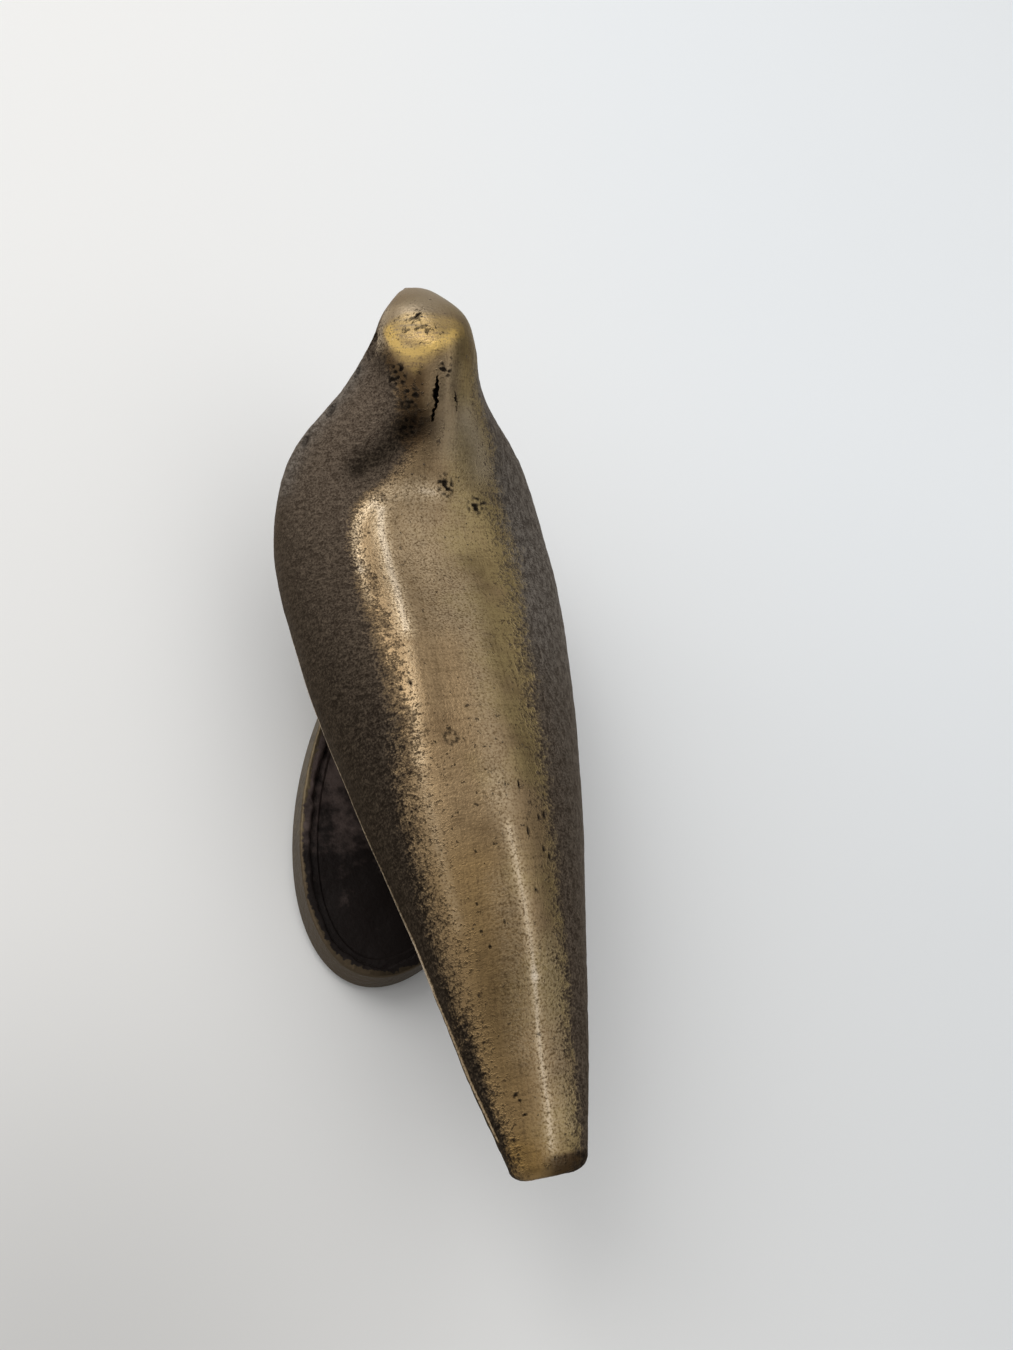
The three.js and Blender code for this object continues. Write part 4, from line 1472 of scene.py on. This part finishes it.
@dataclass
class Stem:
    """The turned stem: a band at each end, a hollow waist, a spigot and a bore."""

    height: float = 7.4
    base_radius: float = 6.4
    waist_radius: float = 4.3
    top_radius: float = 5.6
    band: float = 0.8
    shoulder: float = 0.4
    step_in: float = 0.45
    spigot_radius: float = 3.9
    spigot_length: float = 1.2
    bore_radius: float = 2.25
    edge_round: float = 0.12
    finish: Finish = TurnedBrass()

    def profile(self) -> list[Point2]:
        """Draws the stem, closed on itself.

        Returns:
            Radii and heights.
        """
        low, steps, e = self.band + self.shoulder, 24, self.edge_round
        base, top, bore, spigot = self.base_radius, self.top_radius, self.bore_radius, self.spigot_radius
        end, neck = self.height + self.spigot_length, self.height - self.band
        waist = []
        for t in (step / steps for step in range(steps + 1)):
            rim = base + (top - base) * t - self.step_in
            radius = rim + (self.waist_radius - rim) * math.sin(math.pi * t)
            waist.append((radius, low + (self.height - 2 * low) * t))
        return [
            (bore, 0), (base - e, 0), (base, e), (base, self.band - e), (base - e, self.band), *waist,
            (top - e, neck), (top, neck + e), (top, self.height - e), (top - e, self.height),
            (spigot, self.height), (spigot, end), (bore, end), (bore, 0),
        ]

    def build(self) -> None:
        """Builds the stem and puts it in its place."""
        stem = turn_profile("turned_stem", self.profile(), STEM_STEPS)
        stem.data.transform(Matrix.Translation((0, 0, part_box("stem")[0].z)))
        finish_piece(stem, self.finish, "stem")


@dataclass
class FeltPad:
    """The felt under the foot, with a soft cut edge, turned with the foot."""

    length: float = 71.1
    width: float = 33.1
    thickness: float = 1.0
    edge_round: float = 0.25
    fray: float = 0.05
    turn_degrees: float = FootCasting.turn_degrees
    finish: Finish = PressedFelt()

    def build(self) -> None:
        """Builds the felt and puts it in its place."""
        e, top = self.edge_round, self.thickness
        rings = [(0, 0, 0), (e, 0, 1), (0, e, 1), (0, top - e, 1), (e, top, 1), (e, top, 0)]
        felt = oval_tower("green_felt", [12, 2, 4, 2, 12], rings, self.length, self.width, self.fray)
        close_up(felt)
        felt.data.transform(Matrix.Rotation(math.radians(self.turn_degrees), 4, "Z"))
        finish_piece(felt, self.finish, "felt_pad")


def dress_node(name: str, finish: Finish) -> None:
    """Gives a node of the frame its finish.

    Args:
        name: The node's name.
        finish: The finish.
    """
    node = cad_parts[name]
    node.data.materials.clear()
    node.data.materials.append(finish.build())
    LOG.info("%s: dressed as it is", name)


# The studio


@dataclass(frozen=True)
class Lamp:
    """One soft square lamp that faces the bird."""

    name: str = "window"
    place: Colour = (0.63, -0.75, 0.85)
    size: float = 0.80
    watts: float = 5.5
    colour: Colour = (1.0, 0.985, 0.96)

    def build(self) -> None:
        """Hangs the lamp."""
        light = bpy.data.lights.new(self.name, "AREA")
        light.shape = "SQUARE"
        light.size = self.size
        light.energy = self.watts
        light.color = self.colour
        lamp = bpy.data.objects.new(self.name, light)
        bpy.context.scene.collection.objects.link(lamp)
        lamp.location = self.place
        lamp.rotation_euler = (-Vector(self.place)).to_track_quat("-Z", "Y").to_euler()


class RoomPatch(NamedTuple):
    """A soft patch of the room that is lighter, or darker where amount is negative.

    The azimuth is counted from the beak's direction towards the bird's left. Angles are in degrees.
    """

    azimuth: float
    elevation: float
    inner: float
    outer: float
    amount: float


@dataclass
class Studio:
    """The camera, the pale board, the lamp and the room's light."""

    camera_mm: Colour = (53.92, 64.72, 153.01)
    camera_degrees: Colour = (30.66, -19.63, 167.38)
    focal_px: float = 1053.0
    image_height_px: float = 1350.0
    sensor_mm: float = 36.0
    board_size: float = 6.0
    room_level: float = 0.63
    darkest: float = 0.04
    room_tint: Colour = (1.0, 0.995, 0.985)
    backdrop: Colour = (0.80, 0.81, 0.83)
    lamp: Lamp = Lamp()
    patches: tuple[RoomPatch, ...] = (
        RoomPatch(80, 22, 20, 75, 0.55),
        RoomPatch(52, 42, 8, 24, 0.50),
        RoomPatch(0, 88, 10, 60, 0.20),
        RoomPatch(-45, 55, 5, 20, 0.50),
        RoomPatch(-85, 62, 6, 22, 0.60),
        RoomPatch(-128, 60, 6, 20, 0.70),
        RoomPatch(135, 42, 22, 52, -0.50),
        RoomPatch(-85, 8, 15, 55, -0.38),
    )

    def place_camera(self) -> None:
        """Sets the camera where the photograph was taken from."""
        camera = bpy.data.objects.new("camera", bpy.data.cameras.new("camera"))
        bpy.context.scene.collection.objects.link(camera)
        camera.location = [part * MM for part in self.camera_mm]
        camera.rotation_euler = Euler([math.radians(part) for part in self.camera_degrees], "XYZ")
        camera.data.sensor_width = self.sensor_mm
        camera.data.lens = self.focal_px / self.image_height_px * self.sensor_mm
        camera.data.clip_start = 0.005
        camera.data.clip_end = 50.0
        bpy.context.scene.camera = camera

    def lay_board(self) -> None:
        """Lays the pale board."""
        bpy.ops.object.select_all(action="DESELECT")
        bpy.ops.mesh.primitive_plane_add(size=self.board_size)
        board = bpy.context.object
        board.name = "pale_board"
        board.data.materials.append(PaleBoard().build())

    def light_room(self) -> None:
        """Lights the room: an even level with a few soft patches."""
        world = bpy.data.worlds.new("room")
        bpy.context.scene.world = world
        world.use_nodes = True
        g = Graph(world.node_tree)
        way = g.node("ShaderNodeTexCoord", out="Generated")
        level: Shade | float = self.room_level
        for patch in self.patches:
            turn, lift, inner, outer = map(math.radians, patch[:4])
            aim = (math.sin(turn) * math.cos(lift), -math.cos(turn) * math.cos(lift), math.sin(lift))
            near = g.vector("DOT_PRODUCT", way, aim, "Value")
            level = level + near.step(math.cos(outer), math.cos(inner)) * patch.amount
        tone = g.blend(level.math("MAXIMUM", self.darkest), (0.0, 0.0, 0.0), self.room_tint)
        tone = g.blend(g.node("ShaderNodeLightPath", out="Is Camera Ray"), tone, self.backdrop)
        light = g.node("ShaderNodeBackground", {}, {"Color": tone, "Strength": 1.0})
        g.node("ShaderNodeOutputWorld", {}, {"Surface": light})

    def build(self) -> None:
        """Sets up everything but the object."""
        self.place_camera()
        self.lay_board()
        self.light_room()
        self.lamp.build()
        bpy.context.scene.view_settings.view_transform = "Standard"


def main() -> None:
    """Builds the studio and the dove, piece by piece."""
    logging.basicConfig(level=logging.INFO, format="%(name)s: %(message)s")
    Studio().build()
    for piece in (FeltPad(), FootCasting(), Stem(), BirdCasting()):
        piece.build()
    dress_node("fixing_screw", TurnedSteel("screw_steel", (0.55, 0.55, 0.54)))
    dress_node("spring_washer", TurnedSteel("spring_steel", (0.34, 0.34, 0.33)))


if __name__ == "__main__":
    main()
